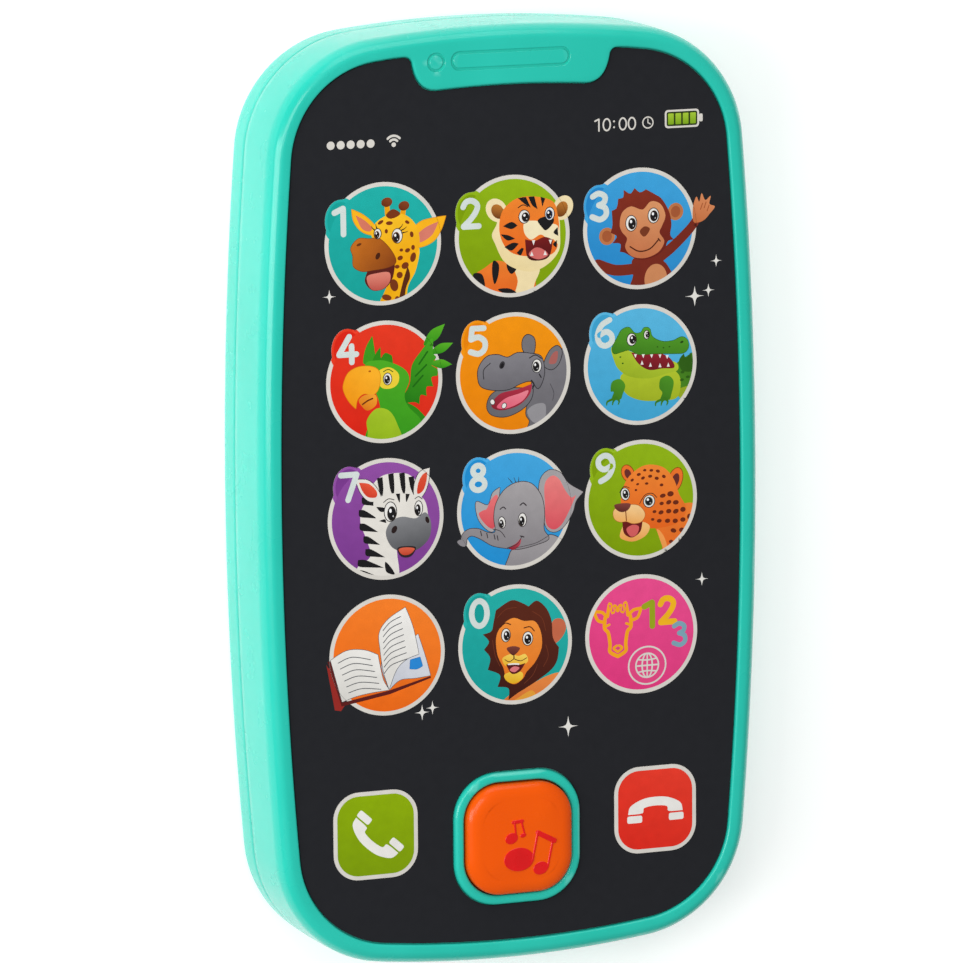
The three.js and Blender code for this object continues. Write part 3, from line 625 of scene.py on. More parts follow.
def surround_ring(body):
    """The raised frame round the home button, rounded like a bead."""
    def row(size, corner, z):
        return square(HOME, size, corner, 14), z

    outer_r = 0.62
    inner_r = 0.4
    inner = HOME_SIZE + 2 * HOME_GAP
    outside = [row(SURROUND_SIZE - 2 * outer_r * (1 - c), SURROUND_CORNER - outer_r * (1 - c),
                   SURROUND_TOP - outer_r * (1 - s)) for s, c in quarter(5)]
    inside = [row(inner + 2 * inner_r * (1 - s), HOME_CORNER + HOME_GAP + inner_r * (1 - s),
                  SURROUND_TOP - inner_r * (1 - c)) for s, c in quarter(4)]
    body.rows([row(SURROUND_SIZE, SURROUND_CORNER, DECK_TOP), *outside, *inside,
               row(inner, HOME_CORNER + HOME_GAP, DECK_TOP)])


DOOR = {"x": 13.6, "y0": -51.6, "y1": 12.4, "r": 3, "depth": 1.8}
BAY = {"x": 11.4, "y0": -48.6, "y1": 0.8, "top": 13, "wall": 1.3, "roof": 1.2}
DOOR_SCREW = middle("battery_door_screw")
POST_WELL_R = 4.4               # the recess over the door screw's post
SCREW_WELL_R = 2.7
SCREW_HEAD_R = 2.4
SCREW_HEAD_HIGH = 1.7
GRILLE = {"y": middle("speaker_frame")[1], "pitch": 4.4, "r": 1.2}
KNOB_LOW, KNOB_HIGH = span("power_switch_knob")
SLOT = {"side": 1.9, "near": 2.1, "far": 6.1, "r": 0.5}      # from the knob's middle at rest
CASE_SCREWS = [f"case_screw_{i}" for i in range(1, 7)]


def grille_holes():
    """Speaker holes in rings of six and twelve about a middle one."""
    places = [(0, 0)]
    for ring in (1, 2):
        for i in range(6 * ring):
            a = i * math.pi / (3 * ring)
            places.append((GRILLE["pitch"] * ring * math.cos(a), GRILLE["pitch"] * ring * math.sin(a)))
    return [circle(x, GRILLE["y"] + y, GRILLE["r"], 32) for x, y in places]


def door_outline(gap):
    return rounded_box(-DOOR["x"] + gap, DOOR["x"] - gap, DOOR["y0"] + gap, DOOR["y1"] - gap,
                       DOOR["r"] - gap, 10)


def bay_outline(grow):
    return rounded_box(-BAY["x"] - grow, BAY["x"] + grow, BAY["y0"] - grow, BAY["y1"] + grow, 0.4 + grow, 4)


def countersunk(body, loop, depth, lip=0.25):
    """A closed cutter for a hole with a slightly broken edge."""
    body.rows([(shifted(loop, lip), -1), (shifted(loop, lip), 0), (loop, lip), (loop, depth)])
    body.fill([shifted(loop, lip)], -1)
    body.fill([loop], depth)


def dense(loop, step):
    """The loop with points added along its long sides."""
    points = []
    for start, end in zip(loop, np.roll(loop, -1, axis=0)):
        count = max(1, int(np.linalg.norm(end - start) / step))
        points += [start + (end - start) * i / count for i in range(count)]
    return np.array(points)


def seeds_round(cuts, grid):
    """Grid points clear of the cuts, and a ring of points close round each cut."""
    margin = 0.6
    for cut in cuts:
        grid = grid[~inside_loop(grid, shifted(cut, 2 * margin))]
    return np.vstack([grid, *[shifted(cut, margin) for cut in cuts]])


def rear_shell(material):
    body = Body()
    top = SEAM - SEAM_HALF
    foot, _ = wall_row(BACK_R)
    draw_in = BEZEL - abs(foot[:, 0]).max() + PANEL_HALF_W
    back = [(panel_outline(BEZEL - draw_in - BACK_R * (1 - s)), BACK_R * (1 - c)) for s, c in quarter(14)]
    inner_r = BACK_R - WALL
    cavity = [(panel_outline(BEZEL - WALL - inner_r * (1 - s)), WALL + inner_r * (1 - c))
              for s, c in quarter(6)]
    wall = [wall_row(z) for z in np.linspace(BACK_R, top - SEAM_CHAMFER, 5)[1:]]
    body.rows([*back, *wall, wall_row(top - 0.04, 0.04), wall_row(top, SEAM_CHAMFER),
               (panel_outline(BEZEL - WALL), top), *cavity[::-1]])
    x, y = (KNOB_LOW[:2] + KNOB_HIGH[:2]) / 2
    slot = rounded_box(x - SLOT["side"], x + SLOT["side"], y - SLOT["near"], y + SLOT["far"], SLOT["r"], 6)
    wells = [circle(*middle(name), SCREW_WELL_R, 40) for name in CASE_SCREWS]
    grille = grille_holes()
    cuts = [*wells, *grille, slot, dense(door_outline(0), 0.8)]
    body.fill([back[0][0]], 0, seeds_round(cuts, grid_within(None, back[0][0], 2.5)))
    body.fill([cavity[0][0]], WALL)
    through = WALL + 1
    cutter = Body()
    for well in wells:
        countersunk(cutter, well, through)
    for hole in grille:
        countersunk(cutter, hole, through, 0.2)
    countersunk(cutter, door_outline(0), DOOR["depth"], 0.2)
    cutter.plate(bay_outline(0), [], 1, through)
    cutter.plate(circle(*DOOR_SCREW, POST_WELL_R), [], 1.2, through)
    countersunk(cutter, slot, through)
    shell = body.made("rear_shell_skin", material, "case", ["rear_shell"], "case_turquoise")
    carve(shell, cutter)
    inner_walls(material)


def carve(piece, cutter):
    """Cuts a closed body out of a piece and keeps the result as the piece's mesh."""
    tool = cutter.made("cutter", piece.data.materials[0], "case")
    difference = piece.modifiers.new("cut", "BOOLEAN")
    difference.operation = "DIFFERENCE"
    difference.solver = "EXACT"
    difference.use_self = True
    difference.object = tool
    evaluated = piece.evaluated_get(bpy.context.evaluated_depsgraph_get())
    mesh = bpy.data.meshes.new_from_object(evaluated)
    piece.modifiers.clear()
    old = piece.data
    piece.data = mesh
    mesh.name = piece.name
    bpy.data.meshes.remove(old)
    tool_mesh = tool.data
    bpy.data.objects.remove(tool)
    bpy.data.meshes.remove(tool_mesh)
    shade(mesh, 35)


def inner_walls(material):
    """The rear shell's screw tubes, battery bay, lip and speaker ring, as one inner moulding."""
    body = Body()
    foot = WALL - 0.1
    tube_r = SCREW_WELL_R + 1.5
    tube_foot = 1.2
    tube_seat = 5.6
    tube_top = 7.4
    tube_bore = 1.5
    for name in CASE_SCREWS:
        x, y = middle(name)
        body.turned(x, y, [(SCREW_WELL_R, tube_foot), (SCREW_WELL_R, tube_seat), (tube_bore, tube_seat),
                           (tube_bore, tube_top), (tube_r, tube_top), (tube_r, tube_foot)])
    body.plate(bay_outline(BAY["wall"]), [bay_outline(0)], foot, BAY["top"])
    body.plate(bay_outline(BAY["wall"]), [], BAY["top"], BAY["top"] + BAY["roof"])
    over = 2.4
    ledge = rounded_box(-DOOR["x"] - over, DOOR["x"] + over, DOOR["y0"] - over, DOOR["y1"] + over, 4)
    holes = [bay_outline(BAY["wall"] / 2), circle(*DOOR_SCREW, 5)]
    body.plate(ledge, holes, DOOR["depth"] + 0.1, DOOR["depth"] + 1.6)
    post_r = 6
    post_seat = 4.4
    post_top = 9.6
    post_bore = 1.35
    body.turned(*DOOR_SCREW, [(POST_WELL_R, foot), (POST_WELL_R, post_seat), (post_bore, post_seat),
                              (post_bore, post_top), (post_r, post_top), (post_r, foot)])
    lip_low = 6.5
    lip_high = 10.4
    body.plate(panel_outline(BEZEL - WALL - 0.3), [panel_outline(0)], lip_low, lip_high)
    speaker = middle("speaker_frame")
    ring_outer = 16.6
    ring_inner = 15.6
    body.plate(circle(*speaker, ring_outer), [circle(*speaker, ring_inner)], foot, 5.5)
    body.made("rear_shell_inside", material, "case", (), "case_turquoise")


def battery_door(material):
    """The door, with finger grooves, a screw seat and two hooks."""
    body = Body()
    outer = door_outline(0.25)
    low = 0.1
    high = DOOR["depth"] - 0.2
    lip = 0.3
    seat = 2.3
    boss_top = 4.1
    well = circle(*DOOR_SCREW, SCREW_WELL_R, 48)
    stem = circle(*DOOR_SCREW, 1.5, 48)
    boss = circle(*DOOR_SCREW, 4, 48)
    body.rows([(shifted(outer, -lip), low), (shifted(outer, -lip * 0.3), low + lip * 0.3),
               (outer, low + lip), (outer, high)])
    top = DOOR["y1"] - 19.6
    pitch = 1.8
    grooves = [rounded_box(-5 + 0.5 * i, 5 - 0.5 * i, top - pitch * i - 0.4, top - pitch * i + 0.4, 0.39, 5)
               for i in range(4)]
    groove_floor = low + 0.4
    body.fill([shifted(outer, -lip), shifted(well, 0.2), *[shifted(g, 0.1) for g in grooves]], low,
              grid_within(None, outer, 1.1))
    for groove in grooves:
        floor = shifted(groove, -0.12)
        body.rows([(shifted(groove, 0.1), low), (groove, low + 0.1), (floor, groove_floor)])
        body.fill([floor], groove_floor)
    body.rows([(shifted(well, 0.2), low), (well, low + 0.2), (well, seat)])
    body.fill([well, stem], seat)
    body.fill([outer, boss], high)
    body.rows([(boss, high), (boss, boss_top)])
    body.fill([boss, stem], boss_top)
    body.rows([(stem, seat), (stem, boss_top)])
    for x in (-6.5, 6.5):
        hook = rounded_box(x - 2, x + 2, BAY["y0"] + 0.3, BAY["y0"] + 1.6, 0.4, 4)
        body.plate(hook, [], high - 0.2, high + 1.2, 0.1)
    body.made("battery_door_skin", material, "battery_door", ["battery_door"], "case_turquoise")


SEAT_GAP = 0.03                 # keeps a screw head's underside clear of its seat


def screw(node, material, body_name):
    """A cross-recess screw with a domed head, standing head down in its node's place."""
    low, high = span(node)
    x, y = middle(node)
    shank = SCREW_HEAD_R / 2
    body = Body()
    head_z = low[2] + SCREW_HEAD_HIGH - SEAT_GAP
    rim = 0.4
    cross = cross_outline(x, y, SCREW_HEAD_R * 0.62, 0.3)
    dome = [(SCREW_HEAD_R - rim * (1 - s) * 1.2, low[2] + rim * (1 - c)) for s, c in quarter(4)]
    body.turned(x, y, dome + [(SCREW_HEAD_R, head_z), (shank, head_z)])
    body.fill([circle(x, y, dome[0][0], 48), cross], low[2])
    recess_floor = shifted(cross, -0.06)
    recess_z = low[2] + 0.8
    body.rows([(cross, low[2]), (recess_floor, recess_z)])
    body.fill([recess_floor], recess_z)
    pitch = 0.7
    length = high[2] - head_z - 1
    turns = int(length / pitch)
    thread = []
    for i in range(turns):
        z = head_z + i * pitch
        thread += [(shank, z + 0.1), (shank, z + 0.25), (shank - 0.25, z + 0.5)]
    body.turned(x, y, [(shank, head_z), *thread, (shank * 0.8, high[2] - 0.9), (0, high[2])], 24)
    body.made(node + "_turned", material, body_name, [node], "steel")


def cross_outline(x, y, arm, half):
    """A plus sign's outline about (x, y): one arm's three corners, turned to each quarter."""
    corners = np.array([(arm, -half), (arm, half), (half, half)])
    return np.vstack([spun(corners, 90 * k) for k in range(4)]) + [x, y]


def switch_knob(material):
    """The ribbed slide knob in the back."""
    body = Body()
    x, y = (KNOB_LOW[:2] + KNOB_HIGH[:2]) / 2
    base = 0.75
    foot = rounded_box(x - 1.5, x + 1.5, y - 1.6, y + 1.6, 0.4, 5)
    body.plate(foot, [], base, KNOB_HIGH[2], 0.08)
    rib_reach = 1.4
    rib_half = 0.24
    for along in (y - 1, y, y + 1):
        rib = rounded_box(x - rib_reach, x + rib_reach, along - rib_half, along + rib_half, 0.22, 4)
        body.plate(rib, [], KNOB_LOW[2], base + 0.1, 0.12)
    body.made("power_switch_knob_ribbed", material, "power_switch_knob", ["power_switch_knob"],
              "black_plastic")


# ---- silicone mat ------------------------------------------------------------------------------

MAT_TOP = 16.6
DOME = {"foot_r": 4.0, "top_r": 2.75, "hollow_r": 2.6, "skin": 0.7}
KEY_DOME_KEEP = 0.28            # the share of its height that a dome keeps under a key at full travel
HOME_DOME_KEEP = 0.06


def dome(name, x, y, keep, material):
    """The hollow dome under one key."""
    body = Body()
    top = span("keypad_mat")[1][2]
    body.turned(x, y, [(0, top), (DOME["top_r"] - 0.15, top), (DOME["top_r"], top - 0.1),
                       (DOME["foot_r"], MAT_TOP), (DOME["hollow_r"], MAT_TOP),
                       (DOME["hollow_r"], top - DOME["skin"]), (0, top - DOME["skin"])])
    piece = body.made(name + "_dome", material, "case", (), "silicone")
    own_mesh(piece)


def keypad_mat(material):
    """One silicone sheet on the board, with a dome under every key and a hole round every post."""
    low, high = span("keypad_mat")
    posts = [circle(*middle(f"board_screw_{i}"), 2.7) for i in range(1, 5)]
    hollows = [circle(*at, DOME["hollow_r"], 48) for at in [*KEY_AT.values(), HOME]]
    body = Body()
    body.plate(rounded_box(low[0], high[0], low[1], high[1], 2.5), posts + hollows, low[2], MAT_TOP)
    body.made("keypad_sheet", material, "case", ["keypad_mat"], "silicone")
    for label, at in KEY_AT.items():
        dome("key_" + label, *at, KEY_DOME_KEEP, material)
    dome("home_button", *HOME, HOME_DOME_KEEP, material)


# ---- home button -------------------------------------------------------------------------------

NOTE_RAISE = 0.1
NOTES_AT = (-0.7, 0.55)         # the notes' place, from the button's middle


def home_button(material, ink):
    """A puffed glossy button: rounded shoulders, then a top that swells a little to its middle."""
    body = Body()
    shoulder = 2.3
    rise = 1.15
    crown = 0.25
    top = HOME_TOP - 0.12 - crown
    foot = 17.7
    flange_top = 18.4
    flange = square(HOME, HOME_SIZE + 2 * FLANGE_OVER, HOME_CORNER + FLANGE_OVER, 16)
    rows = [(flange, foot), (flange, flange_top), (square(HOME, HOME_SIZE, HOME_CORNER, 16), flange_top)]
    for s, c in quarter(10):
        inward = shoulder * (1 - c)
        outline = square(HOME, HOME_SIZE - 2 * inward, HOME_CORNER - inward * 0.6, 16)
        rows.append((outline, top - rise * (1 - s)))
    body.rows(rows)
    rim = rows[-1][0]
    half = HOME_SIZE / 2 - shoulder

    def swell(points):
        flat = np.clip(1 - np.max(abs((points - HOME) / half), axis=1) ** 2, 0, 1)
        return top + crown * flat

    steps = np.arange(-half, half, 0.7)
    grid = np.array([(x, y) for x in steps for y in steps]) + HOME
    seeds = grid[inside_loop(grid, shifted(rim, -0.4))]
    body.fill([rim], swell, seeds)
    body.fill([flange], foot)
    body.made("home_button_puffed", material, "home_button", ["home_button"], "home_orange")
    notes = Body()
    for loop in note_outlines():
        z = float(swell(loop.mean(axis=0)[None])[0])
        high = min(z + NOTE_RAISE, HOME_TOP - 0.01)
        notes.rows([(loop, z - 0.5), (loop, high - 0.05), (shifted(loop, -0.05), high)])
        notes.fill([shifted(loop, -0.05)], high)
        notes.fill([loop], z - 0.5)
    notes.made("home_button_notes", ink, "home_button", (), "home_orange")


def note_outlines():
    """Two pairs of joined notes, measured from the button's middle."""
    x, y = HOME + NOTES_AT
    small = [
        ellipse(x - 1.1, y - 0.2, 1.05, 0.85, 20),
        thick([(x - 0.35, y + 0.1), (x - 0.6, y + 2.3)], 0.14),
        thick([(x - 0.8, y + 2.3), (x + 0.7, y + 2.4)], 0.27),
        thick([(x + 0.55, y + 2.3), (x + 1.05, y + 0.35)], 0.14),
        ellipse(x + 0.8, y + 0.15, 0.5, 0.33, 15),
    ]
    large = [
        ellipse(x + 0.1, y - 3.6, 2.45, 1.85, 0, 40),
        thick([(x + 2.35, y - 4.0), (x + 3.25, y + 0.45)], 0.17),
        thick([(x + 3.25, y + 0.35), (x + 6.0, y - 1.15)], 0.4),
        thick([(x + 5.75, y - 1.2), (x + 4.9, y - 5.2)], 0.17),
        ellipse(x + 3.75, y - 5.3, 1.25, 1.0, 15),
    ]
    return small + large


def thick(points, half, taper=(1.0, 1.0)):
    """A stroke with round ends along a smooth line, its half width scaled from one end to the other."""
    path = smooth(points, 6) if len(points) > 2 else np.array(points, float)
    ahead = np.gradient(path, axis=0)
    ahead /= np.linalg.norm(ahead, axis=1)[:, None]
    side = np.column_stack([-ahead[:, 1], ahead[:, 0]])
    grow = np.linspace(0, 1, len(path))
    widths = half * (taper[0] + (taper[1] - taper[0]) * grow)
    left = path + side * widths[:, None]
    right = path - side * widths[:, None]
    start = math.atan2(side[0][1], side[0][0])
    finish = math.atan2(-side[-1][1], -side[-1][0])
    cap = 6
    end_cap = arc(*path[-1], widths[-1], finish, finish + math.pi, cap)[1:]
    start_cap = arc(*path[0], widths[0], start, start + math.pi, cap)[1:]
    return np.vstack([right, end_cap, left[::-1], start_cap])


def smooth(points, steps=5, closed=False):
    """A smooth curve through a few points. A point with a third value is a sharp corner."""
    places = [np.array(p[:2], float) for p in points]
    sharp = [len(p) > 2 for p in points]
    count = len(places)
    last = count if closed else count - 1
    out = []
    for i in range(last):
        p1, p2 = places[i], places[(i + 1) % count]
        before = places[i - 1] if (closed or i > 0) else p1
        after = places[(i + 2) % count] if (closed or i + 2 < count) else p2
        m1 = (p2 - before) / 2 if not sharp[i] else (p2 - p1) * 0.6
        m2 = (after - p1) / 2 if not sharp[(i + 1) % count] else (p2 - p1) * 0.6
        reach = np.linalg.norm(p2 - p1)
        for m in (m1, m2):
            size = np.linalg.norm(m)
            if size > 1.3 * reach:
                m *= 1.3 * reach / size
        t = np.arange(steps)[:, None] / steps
        out.append((2 * t ** 3 - 3 * t ** 2 + 1) * p1 + (t ** 3 - 2 * t ** 2 + t) * m1
                   + (3 * t ** 2 - 2 * t ** 3) * p2 + (t ** 3 - t ** 2) * m2)
    if not closed:
        out.append(places[-1][None])
    return np.vstack(out)


# ---- printed pictures --------------------------------------------------------------------------

PALE = 0xDCD8D0
KEY_ONLY = "key only"
INK = 0x1B1A1C
WHITE = 0xEFEDE8


class Picture:
    """Flat shapes in paint order, in millimetres from a middle. Each is (loop, ink, over): ink is a colour or
    (colour, colour, degrees) for a fade across the shape, and over lets it pass the disc's edge."""

    def __init__(self):
        self.shapes = []

    def put(self, loop, ink, over=False):
        self.shapes.append((np.asarray(loop, float), ink, over))

    def blob(self, points, ink, over=False):
        self.put(smooth(points, closed=True), ink, over)

    def oval(self, x, y, rx, ry, ink, turn=0, over=False):
        count = 36 if max(rx, ry) > 1.5 else 20 if max(rx, ry) > 0.4 else 12
        self.put(ellipse(x, y, rx, ry, turn, count), ink, over)

    def line(self, points, half, ink, taper=(1.0, 1.0), over=False):
        self.put(thick(points, half, taper), ink, over)

    def edged(self, points, ink, edge, width=0.12, over=False):
        """A blob with a fine dark line round it."""
        loop = smooth(points, closed=True)
        area = np.sum(loop[:, 0] * np.roll(loop[:, 1], -1) - loop[:, 1] * np.roll(loop[:, 0], -1))
        if area < 0:
            loop = loop[::-1]
        self.put(shifted(loop, width), edge, over)
        self.put(loop, ink, over)

    def spots(self, places, ink):
        for x, y, rx, ry, turn in places:
            self.oval(x, y, rx, ry, ink, turn)

    def eye(self, x, y, rx, ry, iris=0x3C1E0C, look=(0.1, -0.06), ring=INK, turn=0):
        """A cartoon eye: dark edge, white, iris, pupil and two glints. look is where it looks."""
        self.oval(x, y, rx + 0.13, ry + 0.13, ring, turn)
        self.oval(x, y, rx, ry, WHITE, turn)
        cx, cy = x + look[0] * rx * 2, y + look[1] * ry * 2
        self.oval(cx, cy, rx * 0.76, ry * 0.78, iris, turn)
        self.oval(cx, cy, rx * 0.6, ry * 0.64, INK, turn)
        self.oval(cx - rx * 0.2, cy + ry * 0.3, rx * 0.22, ry * 0.22, 0xFFFFFF)
        self.oval(cx + rx * 0.25, cy - ry * 0.3, rx * 0.1, ry * 0.1, 0xD8D8D8)

    def star(self, x, y, r):
        """A four-pointed sparkle with hollow sides."""
        points = []
        for k in range(4):
            a = k * math.pi / 2
            points.append((x + r * math.cos(a), y + r * math.sin(a), 1))
            points.append((x + 0.32 * r * math.cos(a + math.pi / 4),
                           y + 0.24 * r * math.sin(a + math.pi / 4)))
        self.put(smooth(points, 3, closed=True), 0xE8E6E0, True)


STROKES = {
    "1": [[(-0.95, 1.35), (0.4, 1.95)], [(0.45, 1.9), (0.45, -1.95)]],
    "2": [[(-1.2, 1.1), (-0.7, 1.85), (0.25, 2.0), (1.05, 1.4), (0.95, 0.5), (0.1, -0.7), (-1.15, -1.85)],
          [(-1.15, -1.9), (1.3, -1.9)]],
    "3": [[(-1.0, 1.55), (0, 2.0), (1.0, 1.5), (0.85, 0.6), (0.0, 0.2)],
          [(0.0, 0.2), (1.05, -0.3), (1.15, -1.35), (0.2, -2.0), (-1.1, -1.55)]],
    "4": [[(0.3, 1.95), (-1.35, -0.7)], [(-1.35, -0.75), (1.4, -0.75)], [(0.65, 0.5), (0.65, -1.95)]],
    "5": [[(1.1, 1.95), (-0.8, 1.95)], [(-0.8, 1.95), (-1.0, 0.3)],
          [(-1.0, 0.3), (0.2, 0.6), (1.2, -0.1), (1.15, -1.3), (0.2, -1.95), (-1.1, -1.6)]],
    "6": [[(0.8, 1.95), (-0.5, 1.2), (-1.2, -0.3), (-0.85, -1.6), (0.15, -2.0), (1.1, -1.4), (1.05, -0.4),
           (0.2, 0.15), (-0.85, -0.3)]],
    "7": [[(-1.3, 1.9), (1.25, 1.9)], [(1.25, 1.9), (-0.2, -1.95)]],
    "9": [[(-0.8, -1.95), (0.5, -1.2), (1.2, 0.3), (0.85, 1.6), (-0.15, 2.0), (-1.1, 1.4), (-1.05, 0.4),
           (-0.2, -0.15), (0.85, 0.3)]],
}


def digit(picture, label, x, y, ink, behind, size=1.0, half=0.45):
    """A rounded digit drawn with a thick pen."""
    rings = {"8": ((-1.0, 1.05, 0.9), (1.1, 0.85, 0.8)), "0": ((0, 1.25, 1.95),)}.get(label, ())
    for grow, colour in ((half, ink), (-half, behind)):
        for dy, rx, ry in rings:
            picture.oval(x, y + dy * size, (rx + grow) * size, (ry + grow) * size, colour, over=True)
    if rings:
        return
    for stroke in STROKES[label]:
        points = [(x + size * px, y + size * py) for px, py in stroke]
        picture.line(points, half * size, ink, over=True)


def disc(picture, label, colour, lift):
    """The pale ring, the coloured disc with a painted sheen that fades it lighter towards its top and, behind
    a digit, the disc's colour on the bump.
    """
    if len(label) == 1:
        bump = BUMP_AT[label]
        bump_ring = [BUMP["rx"] + 0.3, BUMP["ry"] + 0.3]
        picture.oval(*bump, *bump_ring, lift, over=KEY_ONLY)
    picture.put(circle(0, 0, KEY_R + 0.3, 96), PALE, KEY_ONLY)
    if len(label) == 1:
        picture.oval(*bump, *bump_ring, lift, over=KEY_ONLY)
        picture.oval(*bump, BUMP["rx"] - 0.4, BUMP["ry"] - 0.4, colour, over=KEY_ONLY)
    # painted sheen: the disc fades from its colour to the lighter lift colour towards its upper side, light
    # painted onto the key's face
    picture.put(circle(0, 0, KEY_FACE_R, 96), (colour, lift, 70), False)


def giraffe(p):
    p.blob([(1.4, -2.4), (5.6, -0.7), (5.3, -4.1), (4.0, -6.6), (3.2, -9.6), (-0.6, -9.6), (0.2, -7.2),
            (1.1, -5.2)],
           (0xF0A800, 0xFFC21E, 0))
    p.blob([(3.9, -3.6, 1), (4.3, -5.2), (3.6, -7.0), (3.3, -9.4), (2.4, -9.4), (3.0, -6.4)], 0x5A2A12)
    p.edged([(-5.0, 5.5, 1), (-3.2, 4.6), (-1.6, 3.2), (-1.0, 1.9), (-2.0, 1.5), (-3.6, 2.2), (-4.7, 3.7)],
            0xFFB91C, 0xD98A06, 0.08)
    p.blob([(-4.4, 4.6, 1), (-2.9, 3.7), (-1.8, 2.5), (-2.3, 2.0), (-3.5, 2.6)], 0xD97A62)
    p.edged([(4.3, 1.4), (5.8, 2.9), (7.4, 3.4), (10.2, 3.7, 1), (9.4, 1.6), (8.2, 0.0), (6.2, -0.8),
             (4.6, -0.6)],
            0xFFB91C, 0xD98A06, 0.08, over=True)
    p.blob([(5.4, 1.0), (7.0, 2.2), (9.0, 2.9, 1), (8.0, 1.0), (6.4, 0.0), (5.3, 0.0)], 0xDE7F6C, over=True)
    for x, y, lean in ((0.65, 6.3, 0.1), (3.4, 5.6, -0.3)):
        p.line([(x + lean, y - 1.9), (x, y)], 0.42, 0xF3A60C)
        p.oval(x, y, 0.9, 0.72, (0x6B2C10, 0x8A4420, 60), 10)
    p.blob([(-0.8, 3.6), (1.4, 4.5), (3.6, 4.2), (5.3, 2.6), (5.9, 0.1), (5.2, -2.0), (3.4, -3.6),
            (1.2, -3.4),
            (0.2, -1.0), (-1.7, 0.9), (-1.8, 2.2)], (0xF6A800, 0xFFC828, 100))
    p.blob([(0.5, 4.4), (1.6, 5.2), (2.8, 4.5), (2.0, 3.9), (1.0, 3.8)], 0x7A3614)
    p.blob([(-2.6, -4.0, 1), (-0.6, -3.4), (1.9, -2.6, 1), (1.5, -5.2), (0.2, -6.8), (-1.8, -7.0),
            (-3.0, -5.6)],
           0x5B1D18)
    p.blob([(-2.7, -4.9), (-1.0, -4.4), (0.9, -4.4), (1.0, -5.8), (-0.2, -6.9), (-2.0, -6.8)],
           (0xC2544A, 0xE58A78, 90))
    p.edged([(-5.2, -0.3), (-4.0, 1.0), (-2.3, 0.9), (-0.6, 0.8), (1.2, -1.0), (2.0, -2.8), (0.8, -3.6),
             (-1.6, -3.9),
             (-3.4, -4.0), (-4.8, -3.2), (-4.9, -1.6)], (0xC9701E, 0x8A4212, -40), 0x6B3310, 0.08)
    p.oval(-0.9, -1.8, 0.34, 0.55, 0x4A200C, -25)
    p.oval(-3.9, 0.1, 0.42, 0.2, 0x6B3310, 20)
    p.eye(-0.9, 1.6, 0.52, 0.72, 0x6A3A18, (-0.1, -0.1))
    p.eye(2.25, 1.1, 0.78, 1.05, 0x6A3A18, (-0.1, -0.1))
    for x, y, dx, dy in ((-1.4, 2.2, -0.5, 0.6), (-1.0, 2.4, -0.2, 0.7), (2.9, 1.9, 0.9, 0.5),
                         (2.6, 2.2, 0.6, 0.7),
                         (3.0, 1.5, 1.0, 0.2)):
        p.line([(x, y), (x + dx * 0.6, y + dy * 0.45), (x + dx, y + dy)], 0.1, INK, (1, 0.3))
    p.spots([(-0.4, 3.3, 0.5, 0.25, 30), (1.0, 3.1, 0.55, 0.3, 0), (0.5, 1.9, 0.25, 0.35, 0),
             (3.9, 3.1, 0.4, 0.25, -30),
             (4.6, 1.2, 0.3, 0.45, 10), (3.9, -1.2, 0.42, 0.32, 20), (4.8, -0.8, 0.3, 0.4, 0),
             (2.9, -1.1, 0.3, 0.25, 0), (2.7, -2.3, 0.45, 0.35, 20), (4.8, -2.3, 0.45, 0.75, -15),
             (3.5, -3.5, 0.6, 0.5, 30), (2.2, -3.6, 0.4, 0.3, 0), (1.7, -6.4, 0.65, 0.95, 15),
             (2.6, -4.9, 0.5, 0.5, 0),
             (0.5, -8.2, 0.8, 0.45, -15), (2.2, -8.6, 0.4, 0.5, 0)], 0x7A3614)


